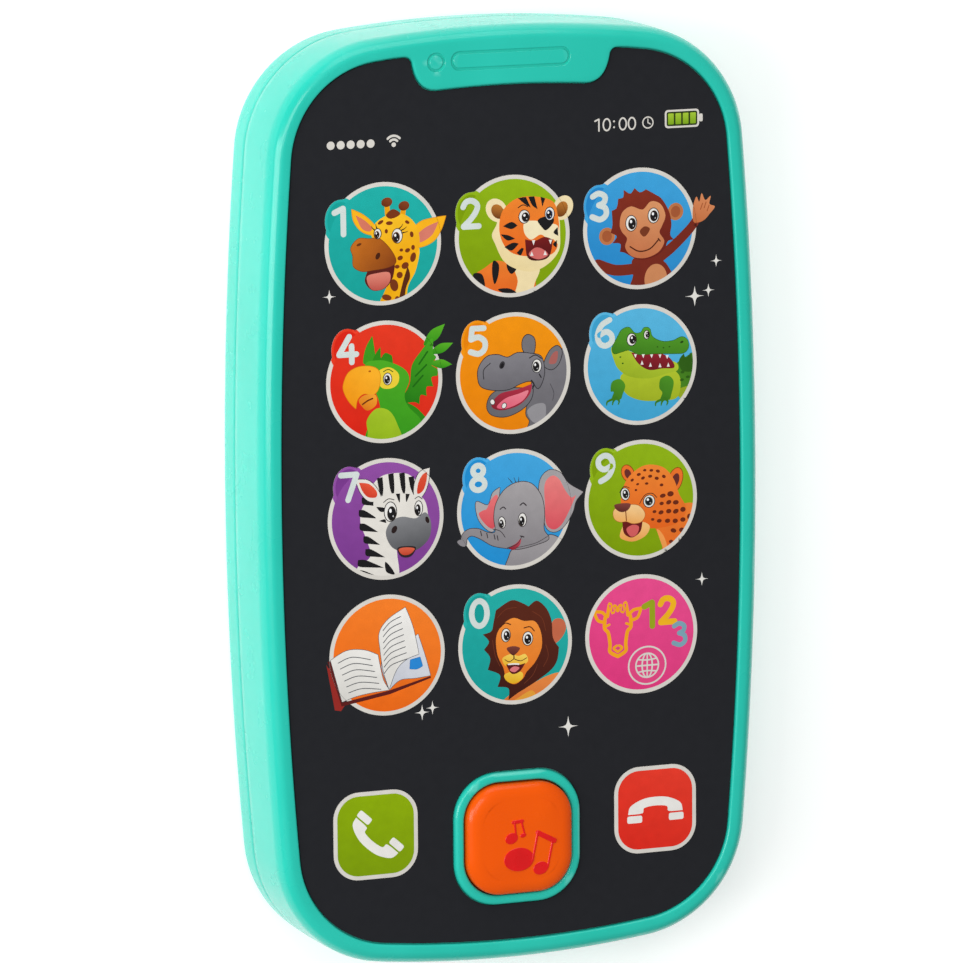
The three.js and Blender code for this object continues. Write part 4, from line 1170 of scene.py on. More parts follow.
def tiger(p):
    p.blob([(-6.6, -6.2), (-4.6, -4.6), (-2.4, -3.6), (1.0, -5.0), (3.6, -6.4), (2.6, -9.8), (-5.0, -9.8)],
           (0xE8601C, 0xF0822E, 90))
    p.blob([(0.2, -4.6), (2.4, -4.0), (4.4, -5.2), (3.6, -7.4), (2.8, -9.8), (0.2, -9.8), (0.8, -7.0)],
           0xF6E2B0)
    for points in ([(-6.4, -5.4), (-5.0, -5.6), (-4.6, -7.6), (-6.2, -6.6)],
                   [(-3.2, -3.6), (-2.3, -4.2), (-2.4, -6.0), (-3.0, -7.2), (-3.4, -5.4)],
                   [(-1.0, -4.0), (-0.3, -4.6), (0.6, -5.0), (-0.2, -5.8), (-0.9, -5.0)],
                   [(-2.4, -8.0), (-0.6, -8.0), (0.6, -8.8), (-1.6, -8.6)]):
        p.blob(points, INK)
    p.blob([(-2.9, -1.0), (-3.4, 0.4), (-2.6, 2.0), (-2.4, 3.4), (0, 5.2), (3.6, 5.4), (6.6, 4.6),
            (7.6, 2.6),
            (7.8, 0.0), (7.6, -2.6), (5.8, -4.6), (3.2, -5.6), (0.4, -5.0), (-1.6, -3.6)],
            (0xF2DCA2, 0xFBEFC8, 60))
    for x, y, turn, over in ((-2.6, 4.1, 40, False), (8.3, 3.9, -30, True)):
        p.oval(x, y, 1.6, 1.95, 0xF5E3B4, turn, over)
        p.oval(x + (0.2 if x < 0 else -0.2), y - 0.2, 0.95, 1.25, (0x6E3A14, 0xC07A30, 80), turn, over)
    p.blob([(-1.6, 4.0), (0.6, 5.7), (3.6, 5.9), (6.6, 5.0), (7.4, 3.0), (7.6, 0.6), (6.6, -0.6),
            (7.4, -1.8),
            (6.2, -3.2), (2.2, -3.2), (-0.4, -2.4), (-1.8, -0.6), (-2.2, 1.6)], (0xEE6A1E, 0xF58A30, 80))
    p.blob([(1.9, 2.0), (3.4, 2.2), (5.4, 1.8), (7.4, 1.2), (7.2, -0.4), (6.0, -0.9), (4.6, 0.0),
            (3.0, -0.7),
            (1.9, 0.4)], 0xF9EBC2)
    p.blob([(2.0, -0.6, 1), (3.6, -0.9), (5.2, -0.4), (6.6, -0.9, 1), (6.0, -3.4), (4.2, -4.0),
            (2.4, -3.4)],
           (0x4A0F12, 0x7A1C1C, 90))
    p.blob([(2.6, -3.0), (3.6, -2.0), (4.8, -2.2), (5.8, -3.2), (4.2, -3.8)], 0xD86E6A)
    for x, y, h in ((3.4, -0.8, -0.8), (6.2, -0.9, -0.7), (3.1, -3.2, 0.7), (5.3, -3.2, 0.7)):
        p.put([(x - 0.28, y), (x + 0.28, y), (x, y + h)], WHITE)
    p.blob([(4.1, 2.2), (5.2, 2.7), (6.6, 2.5), (6.7, 1.7), (5.5, 0.6), (4.7, 1.2)], INK)
    p.eye(1.9, 2.9, 0.82, 0.95, 0x3A2A1A, (0.12, -0.05))
    p.eye(6.1, 3.1, 0.72, 0.95, 0x2A4A7A, (-0.05, -0.05))
    for points in ([(2.6, 5.9, 1), (3.6, 5.9, 1), (4.1, 3.9, 1), (3.2, 4.6)],
                   [(0.9, 5.8, 1), (2.2, 5.9, 1), (3.0, 4.2, 1), (1.9, 4.9)],
                   [(4.6, 5.8, 1), (5.4, 5.5, 1), (4.9, 4.2, 1)],
                   [(-1.6, 1.6, 1), (-0.2, 2.2), (0.8, 1.6, 1), (-0.2, 1.1)],
                   [(-2.0, 0.4, 1), (-0.8, 0.2), (0.4, -0.4, 1), (-0.9, -0.6)],
                   [(-1.4, -1.6, 1), (0.0, -1.0), (1.0, -1.2, 1), (-0.2, -2.2)],
                   [(0.6, -2.6, 1), (1.4, -1.9), (1.8, -2.0, 1), (1.3, -3.0)],
                   [(7.4, 1.0, 1), (6.7, 0.2), (7.5, -0.4, 1)],
                   [(7.3, -1.0, 1), (6.6, -1.6), (7.2, -2.2, 1)]):
        p.blob(points, INK)
    p.line([(0.9, 4.3), (1.7, 4.7), (2.5, 4.4)], 0.14, INK, (0.5, 0.5))


def monkey(p):
    fur = 0x7A2A1C
    p.line([(1.6, -5.6), (5.0, -3.4), (8.2, -0.6), (9.8, 1.4)], 0.8, fur, (1.1, 0.8), over=True)
    p.blob([(8.9, 0.6), (8.8, 2.6), (9.4, 4.4), (9.9, 3.6), (10.3, 4.9), (10.9, 3.8), (11.8, 4.4),
            (11.6, 3.2),
            (12.5, 2.7), (11.6, 1.6), (10.8, 0.8), (9.8, 0.4)], (0xC87040, 0xE09060, 60), over=True)
    p.line([(-7.0, -5.2), (-4.2, -6.2), (-1.2, -6.2)], 0.85, fur)
    p.blob([(-1.2, -4.6), (2.4, -4.6), (4.6, -6.0), (5.6, -9.6), (-1.4, -9.6), (-1.2, -7.2)], fur)
    p.oval(2.6, -8.0, 1.9, 2.4, 0xD08A5C)
    for x, y, turn in ((-5.5, -0.9, 10), (5.9, 2.3, -5)):
        p.oval(x, y, 1.3, 1.35, 0xC27848, turn)
        p.oval(x, y, 0.8, 0.9, 0xA85A34, turn)
    p.blob([(-4.6, 0.9), (-4.7, 3.0, 1), (-3.9, 3.4), (-3.6, 4.8, 1), (-2.8, 5.0), (-2.7, 6.1, 1),
            (-1.6, 5.5),
            (-0.9, 6.3, 1), (0.0, 5.6), (1.0, 6.0, 1), (2.4, 5.2), (3.6, 4.4), (4.8, 2.4), (5.2, 0.4),
            (5.0, -1.2),
            (5.6, -2.0, 1), (4.6, -2.2), (4.2, -3.2, 1), (2.6, -4.4), (-0.2, -4.8), (-2.6, -3.6),
            (-3.4, -3.4, 1),
            (-3.3, -2.2), (-4.6, -2.0, 1), (-3.9, -1.0), (-4.9, -0.4, 1)], (0x6B2018, 0x86301E, 90))
    p.blob([(-3.4, 0.8), (-3.0, 2.6), (-1.6, 3.5), (-0.1, 3.0), (0.6, 3.0), (1.8, 4.1), (3.4, 3.6),
            (4.2, 1.8),
            (3.6, 0.2), (3.2, -0.8), (4.0, -2.2), (3.0, -3.8), (0.8, -4.6), (-1.4, -4.2), (-2.5, -2.8),
            (-2.2, -1.4),
            (-3.0, -0.4)], (0xC8744A, 0xE09A68, 80))
    p.eye(-1.5, 0.9, 0.85, 1.15, 0x3A2414, (0.08, -0.03))
    p.eye(2.2, 1.9, 0.85, 1.1, 0x3A2414, (0.05, -0.03))
    p.blob([(-0.1, -0.4), (0.7, 0.3), (1.6, -0.1), (1.0, -1.1), (0.4, -1.2)], 0x7A3A20)
    p.line([(-1.7, -2.7), (-0.2, -3.5), (1.6, -3.2), (3.0, -1.9)], 0.13, 0x4A1C10, (0.8, 0.8))
    p.line([(3.0, -1.7), (3.3, -2.1)], 0.1, 0x4A1C10)
    for x, y in ((10.1, 2.4), (10.7, 2.6), (11.2, 2.1)):
        p.line([(x, y), (x + 0.35, y + 0.9)], 0.07, 0xA8562E, over=True)


def parrot(p):
    p.blob([(2.0, -3.4), (4.4, -3.8), (6.4, -5.6), (7.6, -7.6), (2.0, -8.0)], 0x2E8A14)
    for tip, base, w in (((9.9, 8.3), (6.4, 5.2), 0.85), ((11.2, 5.3), (7.4, 3.9), 0.72),
                         ((11.0, 2.0), (7.4, 2.4), 0.7)):
        mid = ((tip[0] + base[0]) / 2, (tip[1] + base[1]) / 2)
        across = np.array([-(tip[1] - base[1]), tip[0] - base[0]])
        across = across / np.linalg.norm(across) * w
        p.blob([(*tip, 1), tuple(mid + across), base, tuple(mid - across)], (0x2C8F12, 0x5BB326, 80),
               over=True)
    p.blob([(2.6, -3.2), (4.0, -0.6), (4.4, 2.2), (5.8, 4.2), (7.8, 6.2), (7.9, 4.0), (8.4, 3.2),
            (7.6, 2.2), (8.6, 1.4),
            (8.6, 0.4, 1), (7.6, 0.2), (7.9, -1.2, 1), (6.8, -1.2), (6.8, -2.6, 1), (5.8, -2.4),
            (5.6, -3.8, 1),
            (4.8, -3.4)], (0x1F7A10, 0x48A820, 60), over=True)
    for x0, y0, x1, y1 in ((4.6, -1.0, 6.2, 0.6), (5.0, 0.6, 6.8, 2.2), (5.6, 2.4, 7.0, 4.2)):
        p.line([(x0, y0), (x1, y1)], 0.13, 0x1B6A0E)
    p.blob([(-3.4, 3.0), (-3.0, 5.4), (-1.9, 7.2, 1), (-1.6, 5.2), (-1.6, 3.6)], 0x3C9A1C)
    p.blob([(-1.9, 3.2), (-1.3, 4.6), (-0.6, 5.4, 1), (-0.6, 4.0), (-0.6, 3.0)], 0x2E8A14)
    p.blob([(-0.9, 2.6), (0.0, 4.4), (1.2, 4.0, 1), (1.2, 2.6)], 0x2E8A14)
    p.blob([(-3.2, 2.6), (-1.0, 3.4), (1.4, 2.8), (3.4, 1.6), (4.0, 0.0), (3.2, -2.2), (3.8, -4.0),
            (5.8, -6.2),
            (5.4, -8.4), (1.0, -9.8), (-3.0, -9.4), (-2.6, -6.4), (-0.8, -3.6)], (0x2F9416, 0x4DAE22, 70))
    p.blob([(-2.9, -5.6), (-1.4, -4.0), (0.6, -4.4), (1.9, -6.4), (2.6, -9.6), (-2.4, -9.6), (-2.8, -7.4)],
           (0x8FB414, 0xA8C828, 70))
    p.blob([(-0.9, 1.8), (0.8, 2.2), (2.2, 1.2), (2.2, -0.2), (1.2, -1.0), (-0.4, -0.9), (-1.2, 0.4)],
           0xF2D33A)
    p.edged([(-6.6, 0.2), (-5.8, 1.8), (-4.0, 2.6), (-1.8, 2.4), (-0.8, 1.4), (-0.9, -0.6), (-1.8, -1.8),
             (-3.4, -1.6), (-4.4, -2.4), (-4.7, -3.8, 1), (-5.8, -2.6), (-6.6, -1.0)],
             (0xF59A10, 0xFFB62A, 40),
            0xD97A06, 0.08)
    p.blob([(-4.2, -2.5), (-3.2, -1.8), (-1.5, -1.9), (-1.4, -3.4), (-2.8, -4.2), (-3.8, -3.4)],
           (0xE07A14, 0xF7A430, 60))
    p.line([(-3.6, -3.2), (-2.8, -2.7), (-2.0, -2.4)], 0.12, 0x6A2A08)
    p.oval(-2.4, 1.8, 0.22, 0.14, 0xB05A08)
    p.eye(0.45, 0.45, 0.62, 0.85, 0x2A2016, (-0.05, -0.05))
    p.line([(-0.2, 1.6), (0.6, 1.9), (1.3, 1.5)], 0.12, 0x2A5A10, (0.6, 0.6))


def hippo(p):
    grey, dark = 0x77757A, 0x2C2A2E
    p.edged([(2.4, -9.6), (2.6, -7.6), (2.0, -6.4), (2.4, -4.2), (3.0, -1.6), (5.0, 1.4), (7.0, 2.8),
             (9.6, 3.0),
             (9.6, -9.6)],
            (0x69676C, 0x807E84, 80), dark)
    p.blob([(2.2, -6.0), (3.6, -5.0), (5.2, -5.2), (5.0, -7.6), (3.2, -7.8)], 0x98969A)
    p.edged([(1.6, 3.4), (1.5, 5.0), (2.3, 5.8), (3.4, 5.2), (3.5, 3.6), (2.9, 2.4)], grey, dark)
    p.edged([(5.0, 1.0), (5.9, 3.0), (7.2, 3.8), (8.0, 2.8), (7.4, 1.0), (6.2, 0.2)], grey, dark)
    p.blob([(5.8, 1.2), (6.4, 2.6), (7.3, 2.9), (7.0, 1.2)], 0xB0655F)
    p.edged([(-3.6, -3.0), (-1.4, -2.2), (1.6, -2.4), (3.0, -2.2), (2.9, -4.0), (1.4, -5.6), (-1.2, -6.6),
             (-3.6, -6.2), (-4.4, -4.8)], (0x69676C, 0x78767C, 60), dark)
    p.blob([(-3.6, -4.4), (-2.2, -3.0), (0.6, -2.5), (3.0, -1.8, 1), (2.6, -3.4), (0.8, -5.0), (-1.8, -5.6),
            (-3.4, -5.2)], (0x8A1F2E, 0xB8324A, 80))
    p.blob([(-2.8, -5.0), (-1.4, -3.8), (0.8, -3.2), (2.4, -2.8), (1.6, -4.2), (-0.2, -5.1), (-1.8, -5.4)],
           (0xE8607A, 0xF08A98, 80))
    for x, y, turn in ((-3.5, -4.2, 20), (-1.6, -4.9, -30)):
        p.oval(x, y, 0.42, 0.5, dark, turn)
        p.oval(x, y, 0.32, 0.4, WHITE, turn)
    p.edged([(-5.8, -0.6), (-5.7, 1.2), (-4.4, 2.8), (-2.6, 3.0), (-1.0, 2.5), (0.6, 3.1), (2.6, 2.9),
             (4.4, 2.4),
             (5.0, 0.8), (4.9, -1.0), (4.0, -2.6), (2.9, -1.4), (1.2, -1.6), (-0.8, -2.4), (-3.2, -2.4),
             (-5.2, -1.8)], (0x6C6A70, 0x86848A, 90), dark)
    p.line([(-4.9, -0.6), (-4.9, 0.8), (-3.8, 1.8)], 0.11, dark, (0.6, 0.6))
    p.oval(-1.9, 1.4, 0.42, 0.62, 0x3A383C, -25)
    p.oval(-1.9, 1.3, 0.26, 0.42, 0x1C1A1E, -25)
    p.eye(3.8, 0.9, 0.72, 0.98, 0x2E2A2A, (-0.08, -0.05), dark)
    p.line([(2.6, 2.2), (3.6, 2.6), (4.6, 2.0)], 0.13, dark, (0.6, 0.6))
    p.line([(4.2, -0.4), (4.5, -0.9)], 0.1, dark)
    p.line([(2.9, -1.3), (3.3, -1.9), (3.1, -2.5)], 0.12, dark)
    p.line([(6.0, -2.0), (6.6, -3.4), (6.4, -4.6)], 0.1, 0x4A484E, (0.5, 0.5))


def crocodile(p):
    p.blob([(5.6, -0.6), (7.6, 0.8), (9.6, 1.2), (9.6, -5.0), (6.4, -5.4), (4.6, -3.6)],
           (0x4C8A20, 0x3C7418, 60))
    p.blob([(6.2, -4.4), (7.8, -3.8), (9.6, -3.6), (9.6, -5.8), (6.8, -5.8)], 0x98AC22)
    p.blob([(6.4, 0.2), (7.2, 1.3, 1), (7.6, 0.6), (8.4, 1.4, 1), (8.6, 0.4), (9.4, 0.8), (9.4, -1.4),
            (7.0, -1.4)], 0x2F5F12)
    p.blob([(-3.0, -1.2), (-3.2, -3.0), (-2.2, -4.6), (0.2, -5.6), (3.4, -5.8), (6.2, -5.4), (6.4, -2.0),
            (3.0, -0.4)],
           (0xA2B422, 0xB8CC30, 80))
    for dx, foot in ((-3.9, -5.6), (4.2, -6.2)):
        p.blob([(dx - 0.9, -2.4), (dx + 0.4, -2.0), (dx + 1.3, -3.0), (dx + 0.9, foot + 1.2),
                (dx + 0.5, foot + 0.4),
                (dx - 0.9, foot + 0.5), (dx - 0.6, foot + 1.6), (dx - 1.1, -3.8)], (0x3C7A1A, 0x4E9424, 60))
        for k in range(3):
            x = dx - 1.6 + k * 0.95
            p.line([(dx - 0.2, foot + 0.7), (x, foot + 0.2), (x - 0.15, foot - 0.35)], 0.24, 0x3C7A1A,
                   (1, 0.35))
    p.blob([(-4.6, 3.2), (-4.4, 0.8), (-3.4, -0.8), (-1.6, -1.8), (1.4, -2.2), (4.6, -1.6), (6.2, -1.2),
            (5.9, 0.0),
            (3.4, 0.6), (0.2, 1.4)], (0x9CB424, 0xB4CC34, 70))
    p.blob([(-1.6, 2.0, 1), (0.8, 1.6), (3.2, 1.6), (5.0, 0.6), (5.6, -0.8), (3.6, -0.8), (1.4, -0.9),
            (-0.4, 0.2)],
           (0x6E1620, 0x93202C, 80))
    p.edged([(-4.7, 3.0), (-3.9, 4.4), (-3.1, 5.6), (-1.9, 5.9), (-1.0, 5.0), (0.0, 5.0), (0.6, 5.7),
             (1.5, 5.5),
             (2.0, 4.2), (3.6, 3.4), (5.4, 3.4), (6.8, 3.9), (7.8, 3.4), (8.0, 2.2), (7.2, 1.4), (5.4, 1.4),
             (2.4, 1.6), (-0.2, 1.6), (-1.9, 2.4), (-3.2, 2.2), (-4.4, 2.0)], (0x3E7E1A, 0x56A028, 80),
             0x2C5C10, 0.08)
    for x, y in ((-0.9, 1.7), (0.4, 1.6), (1.8, 1.5), (3.2, 1.4), (4.4, 1.2)):
        p.put([(x - 0.25, y), (x + 0.25, y), (x + 0.02, y - 0.6)], WHITE)
    for x, y in ((0.2, 0.0), (1.6, -0.4), (3.2, -0.6), (4.6, -0.6)):
        p.put([(x - 0.25, y), (x + 0.25, y), (x, y + 0.65)], WHITE)
    p.eye(-1.5, 4.0, 0.72, 0.9, 0x3A2A10, (0.12, 0))
    p.eye(1.0, 4.6, 0.4, 0.6, 0x3A2A10, (0.15, 0))
    p.oval(6.9, 3.1, 0.3, 0.18, 0x23480C, 20)
    for x, y in ((-3.4, 1.4), (-3.0, 0.4), (2.8, 2.6), (3.8, 2.4), (4.8, 2.5)):
        p.oval(x, y, 0.16, 0.12, 0x2E6010)
    for x, y in ((7.0, -1.6), (7.9, -2.4), (6.9, -2.8), (8.4, -1.4)):
        p.oval(x, y, 0.35, 0.22, 0x2F5F12)


def zebra(p):
    coat = 0xE8E4DC
    p.blob([(-3.4, 2.6), (-4.2, 0.0), (-3.2, -3.0), (-2.6, -5.6), (-4.8, -7.4), (-2.6, -9.6), (1.8, -9.6),
            (1.7, -5.0),
            (1.6, 0.0), (0.0, 4.0)], coat)
    for x, y, reach in ((-3.9, 3.6, 2.6), (-4.4, 1.7, 3.0), (-4.3, -0.4, 3.0), (-3.7, -2.4, 2.7),
                        (-3.4, -4.4, 3.2),
                        (-4.6, -6.0, 4.2), (-5.0, -7.6, 4.2)):
        p.blob([(x, y, 1), (x + 0.3 * reach, y - 0.1), (x + reach, y - 1.5, 1), (x + 0.5 * reach, y - 1.3),
                (x + 0.1, y - 1.0)], INK)
    p.blob([(-0.2, -6.6), (0.8, -7.6), (1.5, -8.8, 1), (0.0, -8.2)], INK)
    p.blob([(-2.4, 4.8), (-0.8, 6.6), (1.6, 7.0), (3.8, 6.6), (5.2, 5.0), (4.2, 3.2), (-1.0, 3.2)], coat)
    for x, top in ((-0.9, 6.4), (0.9, 6.9), (2.7, 6.9), (4.2, 6.2)):
        p.blob([(x - 0.5, top, 1), (x + 0.4, top + 0.1, 1), (x + 0.5, 4.6), (x + 0.3, 3.4, 1),
                (x - 0.2, 4.6)], INK)
    p.edged([(-4.9, 6.4, 1), (-2.9, 6.2), (-1.4, 4.8), (-0.9, 3.2), (-2.6, 2.9), (-4.0, 4.2)], coat,
            0x2A2A2C, 0.1)
    p.blob([(-4.3, 5.9, 1), (-2.7, 5.6), (-1.5, 4.4), (-1.6, 3.5), (-2.9, 3.6), (-3.8, 4.6)],
           (0xD23C26, 0xE8583A, 60))
    p.edged([(4.6, 3.2), (4.7, 5.2), (5.6, 6.9), (7.2, 7.4, 1), (7.0, 5.4), (6.4, 3.8), (5.4, 2.7)], coat,
            0x2A2A2C,
            0.1, over=True)
    p.blob([(5.1, 3.6), (5.3, 5.2), (6.0, 6.4), (6.8, 6.8, 1), (6.6, 5.2), (6.0, 3.9)],
           (0xD23C26, 0xE8583A, 60), over=True)
    p.blob([(-2.0, 3.0), (-0.6, 3.6), (1.6, 3.9), (4.6, 3.4), (6.2, 2.6), (6.8, 0.4), (6.6, -2.4),
            (0.0, -2.4), (-1.6, 0.0)],
           coat)
    for points in ([(-1.6, 2.0, 1), (-0.4, 1.8), (0.2, 1.2, 1), (-0.9, 1.2)],
                   [(1.6, 3.8, 1), (2.2, 2.4), (2.3, 3.8, 1)],
                   [(3.2, 3.7, 1), (3.3, 2.4), (3.9, 3.6, 1)],
                   [(-1.2, -0.2, 1), (-0.2, 0.0), (0.0, -0.6, 1)]):
        p.blob(points, INK)
    p.blob([(-0.1, -2.2), (0.8, -0.4), (2.6, 0.2), (4.8, -0.2), (6.4, 0.6), (7.3, -1.0), (7.0, -3.4),
            (5.2, -5.0),
            (3.0, -5.3), (0.9, -4.4)], (0x55565A, 0x86878A, 100))
    p.oval(1.3, -1.7, 0.42, 0.62, 0x2A1C1C, -30)
    p.oval(6.7, -0.6, 0.3, 0.55, 0x2A1C1C, 20)
    p.blob([(1.8, -4.6), (3.2, -4.4), (4.8, -4.7), (4.2, -5.9), (3.2, -6.2), (2.2, -5.8)], 0x2E2426)
    p.blob([(2.0, -4.8), (3.2, -4.6), (4.6, -4.9), (3.8, -5.7), (2.6, -5.7)], (0xC8442C, 0xE0664A, 90))
    p.eye(0.7, 1.1, 0.95, 1.45, 0x2A2420, (0.1, -0.1))
    p.eye(5.3, 1.3, 0.6, 1.1, 0x2A2420, (-0.1, -0.1))
    p.line([(-0.4, 2.6), (0.4, 3.1), (1.3, 2.9)], 0.13, INK, (0.5, 0.5))
    p.line([(4.7, 2.8), (5.3, 3.1), (5.9, 2.7)], 0.12, INK, (0.5, 0.5))


def elephant(p):
    dark = 0x3A3438
    p.edged([(-4.4, 1.0), (-6.3, 1.6), (-6.0, -1.0), (-4.6, -2.8), (-3.4, -3.0), (-2.8, 0.0),
             (-2.4, 3.6, 1),
             (-3.6, 2.8)], 0xB0ACAE, dark, 0.1)
    p.blob([(-3.8, 1.9), (-2.8, 2.4), (-2.8, 0.0), (-3.4, -2.6), (-4.6, -2.2), (-5.9, -0.4), (-5.2, 0.2),
            (-4.6, 0.4)],
           (0xD8505A, 0xEE7A7C, 80))
    p.edged([(-1.2, -9.6), (-1.0, -7.4), (0.0, -6.0), (3.4, -5.6), (6.0, -4.4), (8.4, -6.4), (6.0, -9.8)],
            (0x8E8A8E, 0xA6A2A4, 80), dark)
    p.edged([(4.0, 2.4), (4.4, 4.6), (5.8, 5.7), (7.6, 5.2), (9.0, 3.4), (11.4, 1.9, 1), (10.2, 0.6),
             (9.6, -1.2),
             (8.2, -3.2), (6.6, -4.0), (5.2, -3.2), (4.6, -0.6)], 0xA8A4A6, dark, 0.1, over=True)
    p.blob([(5.0, 3.6), (6.2, 4.8), (7.4, 4.2), (8.4, 2.4), (9.4, 1.2), (10.2, 1.5, 1), (9.2, -0.6),
            (7.8, -2.9),
            (6.4, -3.6), (5.2, -2.6), (5.0, 0.4)], (0xDE5460, 0xF08482, 80), over=True)
    p.edged([(-8.7, -4.6), (-8.6, -3.4), (-7.6, -2.6), (-6.0, -2.6), (-4.4, -3.3), (-3.2, -3.2),
             (-3.4, -1.0),
             (-3.0, 1.2), (-1.6, 3.2), (0.6, 4.2), (2.8, 3.8), (4.4, 1.8), (4.9, -0.8), (4.8, -3.4),
             (5.6, -5.0),
             (3.2, -5.8), (0.8, -6.2), (-1.0, -6.0), (-3.6, -5.4), (-5.6, -4.2), (-7.0, -3.6), (-7.8, -4.0),
             (-8.0, -5.0)], (0x8A868A, 0xAAA6A8, 80), dark, 0.11, over=True)
    p.blob([(-9.4, -4.4), (-8.8, -4.1), (-8.0, -4.7), (-8.2, -5.2), (-8.9, -5.0)], 0x8E8A8E, over=True)
    p.blob([(-1.0, -5.9), (0.2, -5.3), (1.1, -4.4, 1), (0.8, -5.6), (-0.2, -6.3)], (0x8A1F2E, 0xD05060, 60))
    p.line([(-1.2, -5.9), (0.4, -5.4), (1.2, -4.2)], 0.1, dark, (0.6, 0.6))
    p.line([(0.9, -4.2), (1.5, -4.4)], 0.09, dark)
    for x, y in ((-5.6, -3.0), (-4.6, -3.4), (-3.4, -3.7), (-2.9, -3.9)):
        p.line([(x, y), (x + 0.15, y - 0.7)], 0.08, dark)
    p.line([(-3.6, -2.8), (-2.4, -3.2), (-1.6, -4.2)], 0.1, dark, (0.6, 0.6))
    p.eye(-2.1, -1.9, 0.5, 0.85, 0x3A3028, (-0.08, -0.1), dark, 8)
    p.eye(1.25, -1.7, 0.62, 1.0, 0x3A3028, (-0.08, -0.1), dark)
    p.line([(-2.4, 0.2), (-1.9, 0.5), (-1.5, 0.2)], 0.09, dark)
    p.line([(0.9, 0.6), (1.4, 0.9), (1.9, 0.5)], 0.1, dark)
    for x in (-0.4, 0.2, 0.7):
        p.line([(x, 4.2), (x * 1.6 - 0.4, 5.0)], 0.07, dark, (1, 0.4))
    p.line([(0.2, -6.0), (3.4, -5.5), (5.4, -4.6)], 0.09, dark, (0.5, 0.5))


def leopard(p):
    p.blob([(2.4, -4.2), (3.4, -6.4), (4.2, -9.6), (9.6, -9.6), (9.6, -2.0), (7.8, -1.0), (5.0, -2.0)],
           (0xE8641C, 0xF28432, 80))
    p.blob([(2.6, -4.8), (3.4, -5.4), (4.2, -7.0), (4.6, -9.4), (3.9, -8.4), (3.1, -6.4)], 0xF5A052)
    for x, y, rx, ry, turn in ((-2.2, 4.3, 0.95, 1.35, 25), (5.7, 2.7, 1.15, 1.95, -20)):
        p.oval(x, y, rx + 0.12, ry + 0.12, 0x8A3A10, turn)
        p.oval(x, y, rx, ry, 0xF0752A, turn)
        p.oval(x, y - 0.1, rx * 0.55, ry * 0.62, 0x6A2E2A, turn)
    p.blob([(-3.0, 2.2), (-1.6, 4.2), (0.8, 5.4), (3.6, 4.9), (5.4, 3.0), (6.4, 0.4), (7.6, -2.0),
            (6.2, -4.0),
            (3.2, -4.6), (0.4, -4.4), (-2.2, -3.4), (-3.4, -0.6)], (0xEA661C, 0xF58A34, 80))
    p.blob([(-3.6, -5.4), (-2.6, -6.2), (-1.0, -6.4), (0.8, -5.6), (1.4, -4.2), (0.0, -3.4), (-2.6, -3.4)],
           (0xF0A050, 0xF7C880, 80))
    p.blob([(-3.2, -3.0, 1), (-1.4, -3.0), (0.2, -3.4, 1), (-0.2, -5.0), (-1.6, -5.8), (-2.9, -5.0)],
           0x6A1818)
    p.blob([(-2.5, -4.4), (-1.4, -3.8), (-0.4, -4.2), (-0.8, -5.4), (-1.8, -5.6)], 0xD86060)
    p.edged([(-4.6, -1.4), (-3.4, -0.5), (-1.9, -0.6), (-0.4, -0.9), (0.6, -2.2), (0.0, -3.4), (-1.4, -3.6),
             (-2.5, -3.2), (-3.6, -3.2), (-4.5, -2.6)], (0xF3B060, 0xFAD296, 80), 0xA85A1E, 0.07)
    p.line([(-2.6, -1.6), (-2.5, -3.1)], 0.08, 0x8A4416)
    p.blob([(-4.5, -0.5), (-3.2, -0.3), (-1.8, -0.5), (-2.2, -1.4), (-3.2, -1.7), (-4.1, -1.3)],
           (0x5A2622, 0x84443C, 80))
    p.eye(-2.7, 1.1, 0.66, 0.92, 0x4A5A52, (0.05, 0), INK, 10)
    p.eye(1.3, -0.3, 0.88, 0.9, 0x4A5A52, (-0.02, 0), INK, 15)
    p.line([(-0.3, -0.6), (0.6, 0.7), (1.8, 0.9), (2.6, 0.2)], 0.15, INK, (0.4, 0.4))
    p.line([(-3.6, 1.4), (-2.9, 2.3), (-2.0, 2.0)], 0.14, INK, (0.4, 0.4))
    p.spots([(-1.5, 3.2, 0.3, 0.22, 30), (-0.4, 4.0, 0.35, 0.24, 10), (0.6, 4.6, 0.3, 0.2, 0),
             (1.7, 4.5, 0.32, 0.22, 0),
             (2.8, 4.3, 0.36, 0.24, -20), (0.3, 3.4, 0.34, 0.24, 20), (1.5, 3.6, 0.36, 0.24, 0),
             (2.6, 3.2, 0.36, 0.26, -10), (3.8, 3.4, 0.34, 0.26, -30), (0.9, 2.5, 0.3, 0.2, 0),
             (-0.6, 2.5, 0.26, 0.18, 20), (3.4, 2.1, 0.32, 0.24, 0), (-0.9, 1.6, 0.22, 0.18, 0),
             (3.6, 0.4, 0.5, 0.32, 10), (4.9, 0.6, 0.55, 0.42, 0), (3.4, -0.8, 0.38, 0.28, 0),
             (4.6, -0.7, 0.45, 0.34, 20), (5.8, -0.8, 0.5, 0.36, 0), (2.2, -2.0, 0.34, 0.25, 0),
             (3.3, -2.2, 0.45, 0.32, 15), (4.6, -2.1, 0.45, 0.36, 0), (5.8, -2.2, 0.5, 0.36, 20),
             (7.0, -2.0, 0.45, 0.4, 0), (1.9, -3.2, 0.3, 0.22, 0), (3.0, -3.5, 0.42, 0.3, 0),
             (4.4, -3.6, 0.45, 0.34, 0),
             (5.7, -3.7, 0.45, 0.36, 0), (7.0, -3.6, 0.45, 0.36, 0), (8.1, -3.2, 0.4, 0.45, 0),
             (5.4, -5.2, 0.5, 0.34, -20), (6.8, -5.2, 0.45, 0.36, 0), (7.9, -4.9, 0.4, 0.4, 0),
             (6.2, -6.6, 0.42, 0.32, 0), (5.0, -6.9, 0.36, 0.28, 0), (7.0, -6.4, 0.34, 0.3, 0)], 0x6E2A14)


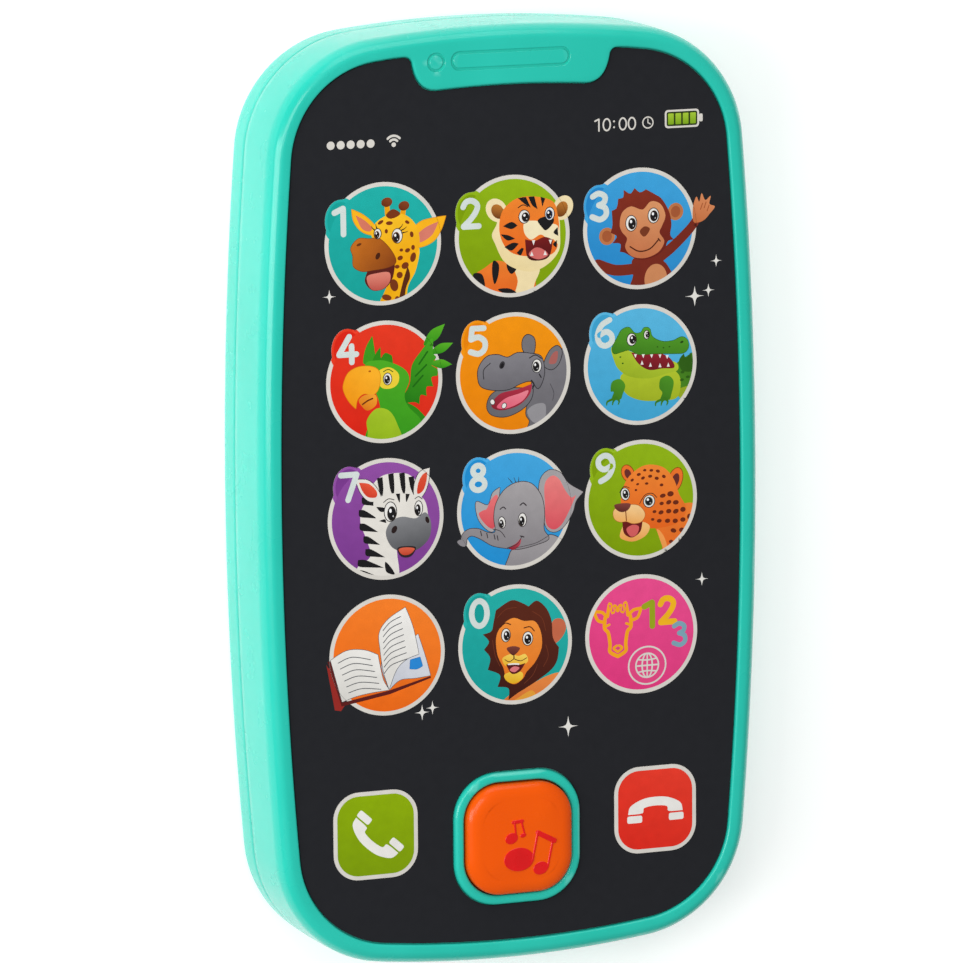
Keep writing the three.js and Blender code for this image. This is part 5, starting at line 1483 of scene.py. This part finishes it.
def lion(p):
    mane = (0x3E1610, 0x5E2818, 70)
    p.blob([(2.6, -6.4), (5.0, -5.4), (7.4, -5.0), (8.6, -6.4), (4.0, -9.9), (-2.4, -9.6), (-0.4, -7.4)],
           (0xD8702A, 0xEE8E48, 60))
    p.blob([(-1.4, -9.6), (0.4, -8.4), (2.6, -7.4), (3.4, -8.6), (2.4, -9.8)], 0xE8A23A)
    p.blob([(5.6, 1.6), (6.4, 3.4), (7.9, 3.3), (8.4, 1.8), (7.4, 0.2), (6.0, -0.4)], 0xC86A4A)
    p.blob([(-3.6, 3.8), (-3.2, 5.6, 1), (-1.9, 6.4), (-0.4, 7.0), (1.2, 6.4), (2.2, 5.8, 1), (3.6, 6.6),
            (5.2, 5.2),
            (6.0, 3.2), (6.2, 0.6), (7.2, -1.0, 1), (6.9, -3.0), (5.9, -4.4), (3.8, -5.8), (1.6, -7.0),
            (0.4, -7.6),
            (-1.2, -8.6, 1), (-1.2, -6.8), (-3.0, -6.4, 1), (-2.6, -4.6), (-4.6, -3.6, 1), (-4.2, -1.8),
            (-5.2, -0.4, 1),
            (-4.4, 0.8), (-5.4, 2.0, 1), (-4.0, 2.4)], mane)
    p.blob([(-3.2, 1.4), (-2.2, 3.2), (-0.4, 4.2), (1.4, 3.6), (3.2, 3.4), (4.2, 1.6), (4.3, -0.8),
            (3.2, -3.0),
            (1.8, -4.4), (1.2, -5.4), (-0.2, -6.2), (-1.6, -5.4), (-2.0, -3.6), (-3.0, -1.4)],
            (0xE8741C, 0xF7953A, 80))
    p.blob([(-1.9, -4.6), (-0.6, -4.2), (1.0, -4.4), (1.1, -5.4), (-0.2, -6.1), (-1.5, -5.6)],
           (0xE8B01C, 0xF5CE4A, 80))
    p.blob([(-2.2, -2.0), (-0.8, -1.4), (0.4, -1.8), (1.6, -1.6), (2.0, -2.8), (0.6, -3.4), (-0.6, -3.0),
            (-1.7, -3.2)],
           (0xF0B82A, 0xF9D662, 80))
    p.blob([(-1.6, -3.0, 1), (-0.4, -2.9), (0.8, -3.2, 1), (1.6, -3.0, 1), (0.6, -4.3), (-0.7, -4.5)],
           0x5A1418)
    p.blob([(-1.0, -3.9), (-0.3, -3.4), (0.6, -3.7), (-0.2, -4.3)], 0xE07A80)
    p.line([(-1.2, -3.0), (-0.3, -3.0), (0.5, -3.1)], 0.12, WHITE)
    p.blob([(-1.5, -0.5), (-0.4, -0.2), (0.7, -0.6), (0.1, -1.4), (-0.6, -1.6)], (0x5A2620, 0x7E4036, 80))
    p.line([(-0.3, -1.5), (-0.3, -2.2)], 0.09, 0x4A1C14)
    p.line([(-0.3, -2.2), (0.8, -2.6), (1.8, -2.2)], 0.1, 0x4A1C14, (0.6, 0.6))
    p.line([(-0.3, -2.2), (-1.1, -2.6), (-1.8, -2.2)], 0.1, 0x4A1C14, (0.6, 0.6))
    p.eye(-1.6, 1.6, 0.68, 0.98, 0x3A2412, (0.1, -0.05))
    p.eye(2.0, 0.8, 0.78, 1.02, 0x3A2412, (0.02, -0.05))
    p.line([(-2.5, 2.9), (-1.7, 3.5), (-0.8, 3.2)], 0.17, 0x4A1C10, (0.5, 0.5))
    p.line([(1.4, 2.5), (2.4, 2.6), (3.1, 1.9)], 0.17, 0x4A1C10, (0.5, 0.5))
    for points in ([(-3.0, 4.4), (-1.6, 5.6), (0.2, 5.8)], [(2.8, 5.0), (4.4, 3.8), (5.0, 1.8)],
                   [(5.0, -0.4), (5.4, -2.2), (4.6, -3.8)], [(-3.8, 1.0), (-3.4, -1.4), (-2.6, -3.2)],
                   [(3.6, -3.4), (2.8, -5.0), (1.4, -6.2)]):
        p.line(points, 0.12, 0x7A3A22, (0.3, 0.3))


def book(p):
    edge = 0x4A4A50
    p.put([(-9.9, -0.7), (-9.6, -1.3), (-9.0, -1.2), (-7.5, -7.2), (-7.0, -7.3), (-7.6, -8.1),
           (-8.6, -7.9)], 0x9A2A24,
          True)
    p.put([(-9.7, -0.3), (-9.2, -0.2), (-7.4, -6.8), (0.2, -5.5), (7.0, -3.8), (7.1, -4.1), (0.3, -6.1),
           (-7.5, -7.4)],
          0x5E1C1A, True)
    p.edged([(-9.2, -0.1, 1), (-6.6, 1.2), (-3.8, 1.1), (-1.6, 0.2, 1), (-0.8, -3.6), (0.2, -5.4, 1),
             (-2.6, -5.6),
             (-5.2, -6.0), (-7.4, -6.7, 1)], (0xDAD8D2, 0xF1EFEA, 60), edge, 0.08, over=True)
    p.edged([(0.2, -5.4, 1), (2.0, -4.0), (4.6, -3.9), (7.0, -3.7, 1), (6.2, -0.8), (5.0, 2.9, 1),
             (2.0, 1.0),
             (-1.0, -1.0)], (0xC8CCD6, 0xE2E4EA, 60), edge, 0.08)
    p.edged([(3.6, -2.4, 1), (4.8, -2.5), (5.7, -2.1, 1), (5.3, -0.7, 1), (3.7, -1.0, 1)], 0x2A8AD8,
            0x1C66A8, 0.06)
    p.edged([(0.2, -5.3, 1), (-0.7, -2.4), (-1.2, 1.0), (-1.3, 3.6), (0.2, 5.6), (3.0, 7.2, 1), (4.2, 4.0),
             (5.1, -0.2, 1), (3.0, -0.9), (1.4, -2.4)], (0xE0DED8, 0xF6F4F0, 60), edge, 0.08)
    for k in range(6):
        y = -0.6 - 0.95 * k
        x = -8.0 + 0.33 * k
        p.line([(x, y), (x + 2.2, y + 0.75 - 0.05 * k), (x + 5.2, y + 0.15)], 0.11, 0x5A5C60, (0.6, 0.6))
    for k in range(8):
        y = 5.0 - 0.95 * k
        x = -0.7 + 0.02 * k
        p.line([(x, y - 1.1), (x + 1.2, y + 0.1), (x + 2.9 + 0.12 * k, y + 0.85)], 0.11, 0x5A5C60,
               (0.6, 0.6))


def choices(p):
    """The mode key: an animal's head, three numbers and a ringed globe."""
    line = 0xF7A81C
    for side in (-1, 1):
        x = -4.0
        p.line([(x + 1.9 * side, 3.2), (x + 2.6 * side, 3.9), (x + 3.9 * side, 4.1)], 0.26, line)
        p.line([(x + 3.9 * side, 4.1), (x + 3.3 * side, 2.7), (x + 2.1 * side, 2.3)], 0.26, line)
        p.line([(x + 2.1 * side, 3.0), (x + 2.2 * side, 1.4), (x + 1.6 * side, 0.6), (x + 1.3 * side, -1.2),
                (x + 1.3 * side, -2.4), (x, -3.2)], 0.3, line)
        p.line([(x, 4.0), (x + 0.5 * side, 4.8), (x + 0.8 * side, 3.7), (x + 1.3 * side, 5.2),
                (x + 1.7 * side, 3.2)], 0.28,
               line)
        p.line([(x, -2.5), (x + 0.7 * side, -1.9), (x + 0.2 * side, -1.5)], 0.2, line)
        p.line([(x + 1.4 * side, 1.9), (x + 2.1 * side, 1.6)], 0.2, line)
    digit(p, "1", 1.35, 3.0, 0x9AA81C, 0, 0.95, 0.5)
    digit(p, "2", 4.3, 3.4, 0xF5B820, 0, 0.95, 0.5)
    digit(p, "3", 6.3, -0.5, 0x7FA8B8, 0, 0.85, 0.45)
    p.oval(0.9, -5.0, 3.25, 3.1, PALE)
    p.oval(0.9, -5.0, 2.98, 2.83, 0xE84A86)
    for rx, ry in ((1.9, 1.9), (0.85, 1.9)):
        p.oval(0.9, -5.0, rx + 0.13, ry + 0.13, PALE)
        p.oval(0.9, -5.0, rx - 0.13, ry - 0.13, 0xE84A86)
    p.line([(-0.9, -5.0), (2.7, -5.0)], 0.13, PALE)
    for dy in (-1.0, 1.0):
        p.line([(-0.6, -5.0 + dy), (0.9, -5.0 + dy * 0.85), (2.4, -5.0 + dy)], 0.12, PALE)
    p.line([(0.9, -3.2), (0.9, -6.8)], 0.12, PALE)


def handset(p, x, y, turn):
    """An arched handset whose two square ends are parted from it by a fine line."""
    def place(points):
        return spun(points, turn) + [x, y]

    arch = smooth([(-4.6, -0.6, 1), (-4.2, 0.7), (-2.2, 1.7), (0, 1.95), (2.2, 1.7), (4.2, 0.7),
                   (4.6, -0.6, 1),
                   (2.2, -0.5), (1.9, 0.3), (0, 0.55), (-1.9, 0.3), (-2.2, -0.5)], 4, closed=True)
    p.put(place(arch), WHITE)
    for side in (-3.5, 3.5):
        p.put(place(rounded_box(side - 1.25, side + 1.25, -2.0, -0.85, 0.3, 3)), WHITE)


def call_picture(label):
    """A pale border round a coloured square that fades lighter towards its top as a painted sheen, with a
    handset.
    """
    p = Picture()
    # painted sheen: each square fades to a lighter colour towards its upper side
    colour = (0x7E9E00, 0x8FB000, 70) if label == "call" else (0xE22A1C, 0xEC3C2A, 70)
    p.put(square((0, 0), CALL_SIZE + 0.6, CALL_CORNER + 0.3, 12), PALE, KEY_ONLY)
    p.put(square((0, 0), CALL_SIZE - 1.3, CALL_CORNER - 0.7, 12), colour, True)
    if label == "call":
        handset(p, -0.2, -0.5, 138)
    else:
        handset(p, 0, 0, 0)
    return p


# each entry: the animal's drawing, the disc's colour, and a lighter colour that gives the bump its printed
# ring and the disc its painted sheen towards the top
PICTURES = {
    "1": (giraffe, 0x14A59C, 0x1FB4AC), "2": (tiger, 0x7FA000, 0x93B812), "3": (monkey, 0x2488CC, 0x3FA6E0),
    "4": (parrot, 0xDE2412, 0xEA3A20), "5": (hippo, 0xEE8600, 0xF8980A),
    "6": (crocodile, 0x3EA6D4, 0x5ABAE4),
    "7": (zebra, 0x7C3A90, 0x9450A6), "8": (elephant, 0x1F90D4, 0x44AAE4),
    "9": (leopard, 0x7FA000, 0x93B812),
    "book": (book, 0xF06A12, 0xFB8228), "0": (lion, 0x12A09A, 0x24B2AA),
    "mode": (choices, 0xE43A80, 0xEE4E90),
}
DIGIT_AT = {label: (-6.8, 3.75) if label in "123" else (-5.9, 5.3) for label in "0123456789"}
DIGIT_INK = 0xD6E0DC


def key_picture(label):
    draw, colour, lift = PICTURES[label]
    p = Picture()
    disc(p, label, colour, lift)
    draw(p)
    if len(label) == 1:
        digit(p, label, *DIGIT_AT[label], DIGIT_INK, colour)
    return p


# ---- keys and film -----------------------------------------------------------------------------

FILM_BLACK = 0x222327


def ink_colours(places, loop, ink):
    """The ink's colour at each place: plain, or fading across the shape."""
    if isinstance(ink, int):
        return np.tile(linear(ink), (len(places), 1))
    first, second, degrees = ink
    a = math.radians(degrees)
    along = np.array([math.cos(a), math.sin(a)])
    low, high = np.min(loop @ along), np.max(loop @ along)
    t = np.clip((places @ along - low) / (high - low), 0, 1)[:, None]
    return (1 - t) * np.array(linear(first)) + t * np.array(linear(second))


def inked(piece, shapes, base, top, centre=None):
    """Gives the piece's corners their inks: the topmost shape over each face that lies at the top."""
    mesh = piece.data
    corner_count = len(mesh.loops)
    vertex = np.zeros(corner_count, int)
    mesh.loops.foreach_get("vertex_index", vertex)
    places = np.zeros(3 * len(mesh.vertices))
    mesh.vertices.foreach_get("co", places)
    places = places.reshape(-1, 3)[vertex] / MM
    owner = np.repeat(np.arange(len(mesh.polygons)), [len(p.vertices) for p in mesh.polygons])
    sizes = np.bincount(owner)
    centres = np.column_stack([np.bincount(owner, places[:, i]) / sizes for i in range(3)])
    colours = np.tile(linear(base), (corner_count, 1))
    face_up = centres[:, 2] > top
    for loop, ink, over in shapes:
        low, high = loop.min(axis=0), loop.max(axis=0)
        near = np.flatnonzero(face_up & np.all((centres[:, :2] > low) & (centres[:, :2] < high), axis=1))
        if not over and centre is not None:
            near = near[np.linalg.norm(centres[near, :2] - centre, axis=1) < KEY_FACE_R]
        hit = np.zeros(len(mesh.polygons), bool)
        hit[near[inside_loop(centres[near, :2], loop)]] = True
        corners = hit[owner]
        colours[corners] = ink_colours(places[corners, :2], loop, ink)
    layer = mesh.color_attributes.new("ink", "FLOAT_COLOR", "CORNER")
    layer.data.foreach_set("color", colours.ravel())


def key_cap(label, shapes, material):
    """A key: its picture on a gently crowned top, its sides and the flange under the deck."""
    name = "key_" + label
    centre = KEY_AT[label]
    is_round = label in ROUND_KEYS
    outline = outline_of(label, -KEY_GAP / 2)
    flange = circle(*centre, KEY_R + FLANGE_OVER) if is_round else call_outline(label, FLANGE_OVER)
    reach = KEY_R if is_round else CALL_SIZE * 0.6
    edge_z = FILM_TOP + 0.02
    lift = KEY_TOP - edge_z - 0.02

    def crown(points):
        away = np.linalg.norm(points - centre, axis=1) / reach
        return edge_z + lift * np.clip(1 - away ** 2, 0, 1)

    grid = np.arange(-reach, reach + 0.1, 0.9)
    seeds = np.array([(x, y) for x in grid for y in grid]) + centre
    seeds = seeds[inside_loop(seeds, shifted(outline, -0.3))]
    body = Body()
    body.fill([outline], crown, seeds, [shape[0] for shape in shapes])
    low, high = span(name)[0][2], 18.45
    body.rows([(outline, high), (outline, edge_z)])
    body.fill([flange, outline], high)
    body.rows([(flange, low), (flange, high)])
    body.fill([flange], low)
    cap = body.made(name + "_cap", material, name, [name], f"{name}_face", angle=50)
    inked(cap, shapes, PALE, FILM_TOP - 0.05, centre)


def moved(shapes, centre):
    return [(loop + centre, ink, over) for loop, ink, over in shapes]


def status_bar():
    """Signal dots, a radio symbol, a clock and a battery along the film's top."""
    p = Picture()
    for k in range(5):
        p.oval(-29.2 + 1.6 * k, 55.7, 0.64, 0.64, PALE)
    x, y = -19.1, 55.35
    p.oval(x, y, 0.36, 0.36, PALE)
    for r in (0.78, 1.35):
        points = [(x + r * math.sin(a), y + r * math.cos(a)) for a in np.linspace(-0.8, 0.8, 6)]
        p.line(points, 0.18, PALE)
    for k, label in enumerate(("1", "0", ":", "0", "0")):
        x = 14.1 + 1.5 * k - (0.2 if k > 1 else 0) - (0.15 if k > 2 else 0)
        if label == ":":
            p.oval(x - 0.1, 56.2, 0.16, 0.16, PALE)
            p.oval(x - 0.1, 57.1, 0.16, 0.16, PALE)
        else:
            digit(p, label, x, 56.65, PALE, FILM_BLACK, 0.46, 0.27)
    p.oval(22.4, 56.65, 0.95, 0.95, PALE)
    p.oval(22.4, 56.65, 0.75, 0.75, FILM_BLACK)
    p.line([(22.4, 56.6), (22.4, 57.2)], 0.08, PALE)
    p.line([(22.4, 56.65), (22.8, 56.4)], 0.08, PALE)
    p.put(rounded_box(25.2, 30.9, 55.6, 58.4, 0.5, 3), PALE)
    p.put(rounded_box(30.9, 31.5, 56.4, 57.6, 0.2, 3), PALE)
    p.put(rounded_box(25.5, 30.6, 55.9, 58.1, 0.3, 3), 0x2C3A14)
    for k in range(4):
        x = 25.75 + 1.22 * k
        p.put(rounded_box(x, x + 0.95, 56.15, 57.85, 0.12, 3), (0x7EA81A, 0xA8CC3A, 90))
    return p.shapes


SPARKLES = [(-29.7, 32.8, 1.1), (33.7, 34.7, 1.0), (30.1, 29.4, 1.6), (32.4, 30.2, 1.05),
            (31.2, -15.0, 1.1),
            (-15.4, -32.3, 1.25), (-13.7, -31.7, 1.1), (8.7, -36.5, 1.65)]


def film(pictures, material):
    """The black printed film, with what passes over the keys' edges printed on it."""
    shapes = status_bar()
    sparkles = Picture()
    for x, y, r in SPARKLES:
        sparkles.star(x, y, r)
    shapes += sparkles.shapes
    for label, picture in pictures.items():
        outline = outline_of(label, 0.2)
        for loop, ink, over in moved(picture.shapes, KEY_AT[label]):
            if over is True and not np.all(inside_loop(loop, outline)):
                shapes.append((loop, ink, over))
    outline = film_outline(-0.1)
    gap = square(HOME, SURROUND_SIZE + 0.35, SURROUND_CORNER + 0.175, 14)
    holes = [*key_outlines(KEY_GAP / 2), gap]
    body = Body()
    body.fill([outline, *holes], FILM_TOP, creases=[shape[0] for shape in shapes])
    for loop in [outline, *holes]:
        body.rows([(loop, FILM_BOTTOM), (loop, FILM_TOP)])
    body.fill([outline, *holes], FILM_BOTTOM)
    sheet = body.made("screen_film_printed", material, "case", ["screen_overlay"], "screen_film")
    inked(sheet, shapes, FILM_BLACK, FILM_TOP - 0.05)


# ---- camera, floor and lights ------------------------------------------------------------------

CAMERA_AT = Vector((-0.3613, 0.1730, 0.9398))
CAMERA_RIGHT = Vector((0.9321, -0.0079, 0.3622))
CAMERA_UP = Vector((0.0688, 0.9854, -0.1557))
LENS = 245.3
LIT_POINT = Vector((0, 0, 0.01))


def make_camera():
    data = bpy.data.cameras.new("camera")
    data.sensor_fit = "HORIZONTAL"
    data.sensor_width = 36
    data.lens = LENS
    data.clip_start = 0.01
    data.clip_end = 10
    camera = bpy.data.objects.new("camera", data)
    right = CAMERA_RIGHT.normalized()
    back = right.cross(CAMERA_UP).normalized()
    up = back.cross(right)
    turn = Matrix((right, up, back)).transposed().to_4x4()
    camera.matrix_world = Matrix.Translation(CAMERA_AT) @ turn
    bpy.context.scene.collection.objects.link(camera)
    bpy.context.scene.camera = camera


def area_light(name, at, size, energy, size_y=None):
    """A soft rectangular lamp that faces the phone."""
    data = bpy.data.lights.new(name, "AREA")
    data.shape = "RECTANGLE"
    data.size = size
    data.size_y = size_y or size
    data.energy = energy
    light = bpy.data.objects.new(name, data)
    light.location = at
    light.rotation_euler = (LIT_POINT - Vector(at)).to_track_quat("-Z", "Y").to_euler()
    bpy.context.scene.collection.objects.link(light)


def make_stage():
    world = bpy.data.worlds.new("studio")
    world.use_nodes = True
    world.node_tree.nodes["Background"].inputs["Color"].default_value = (1, 1, 1, 1)
    world.node_tree.nodes["Background"].inputs["Strength"].default_value = 0.3
    bpy.context.scene.world = world
    bpy.context.scene.view_settings.view_transform = "Standard"
    floor = Look("floor", roughness=0.9)
    floor.colour(floor.mix(floor.between(floor.noise(60), 0, 1), 0xF2F2F1, 0xF6F6F5))
    floor.set("Emission Color", (1, 1, 1, 1))
    floor.set("Emission Strength", 0.4)
    mesh = bpy.data.meshes.new("floor")
    reach = 3
    mesh.from_pydata([(-reach, -reach, 0), (reach, -reach, 0), (reach, reach, 0), (-reach, reach, 0)], [],
                     [(0, 1, 2, 3)])
    mesh.materials.append(floor.material)
    ground = bpy.data.objects.new("floor", mesh)
    ground.location.z = -0.0001
    bpy.context.scene.collection.objects.link(ground)
    area_light("left_softbox", (-0.72, 0.05, 0.5), 0.35, 4.6, size_y=0.7)
    area_light("top_softbox", (0.05, 0.85, 0.45), 0.7, 3.0)
    area_light("overhead", (-0.45, 0.35, 1.1), 0.5, 3.2)


# ---- assembly ----------------------------------------------------------------------------------

def dress(nodes, material):
    """Gives CAD nodes that stay their better material."""
    for name in nodes:
        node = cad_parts[name]
        for slot in node.material_slots:
            slot.link = "OBJECT"
            slot.material = material


def main():
    make_camera()
    make_stage()
    turquoise = glossy_plastic("case_turquoise", 0x2ACDB9, 0x22C6B1, 0x86EBDB)
    orange = glossy_plastic("home_orange", 0xFC5E00, 0xF45600, 0xFA7A1A, specular=0.18, coat=0.1)
    orange_red = satin_plastic("note_red", 0xEC0A10, 0xE0060C, 0.3)
    black = satin_plastic("black_plastic", 0x202022, 0x18181A)
    steel = metal("steel", 0xC6C8CA, 0xA2A4A6)
    plated = metal("contact_plate", 0xD8D0B4, 0xB4AC92, 0.28, (1, 0.2, 1))
    pictures = {label: key_picture(label) for label in ROUND_KEYS}
    pictures.update({label: call_picture(label) for label in ("call", "end")})
    key_print = printed("key_print", 0.38)
    for label, picture in pictures.items():
        key_cap(label, moved(picture.shapes, KEY_AT[label]), key_print)
    film(pictures, printed("film_print", 0.42, 0.0))
    front_shell(turquoise)
    rear_shell(turquoise)
    battery_door(turquoise)
    home_button(orange, orange_red)
    switch_knob(black)
    screw("battery_door_screw", steel, "battery_door_screw")
    for name in CASE_SCREWS:
        screw(name, steel, "case")
    keypad_mat(silicone())
    dress(["main_board"], circuit_board())
    dress(["chip_blob", "driver_transistor", "speaker_clamp"], black)
    dress(["capacitor"], satin_plastic("capacitor_sleeve", 0x243860, 0x1C2C50, 0.4))
    dress(["resistor_1", "resistor_2"], satin_plastic("ceramic", 0x3A332C, 0x2A2420, 0.6))
    dress(["power_switch_body", "speaker_frame", "speaker_magnet"], steel)
    dress(["clamp_screw_1", "clamp_screw_2", *[f"board_screw_{i}" for i in range(1, 5)]], steel)
    dress(["contact_positive", "contact_negative", "contact_bridge"], plated)
    dress(["speaker_cone"], paper_cone())
    dress(["battery_1", "battery_2"], cell_wrap())
    dress(["wire_battery_to_switch", "wire_switch_to_board", "wire_speaker_positive"],
          satin_plastic("wire_red", 0xC02818, 0xA81C12))
    dress(["wire_battery_to_board", "wire_speaker_negative"],
          satin_plastic("wire_black", 0x1E1E20, 0x161618))


main()
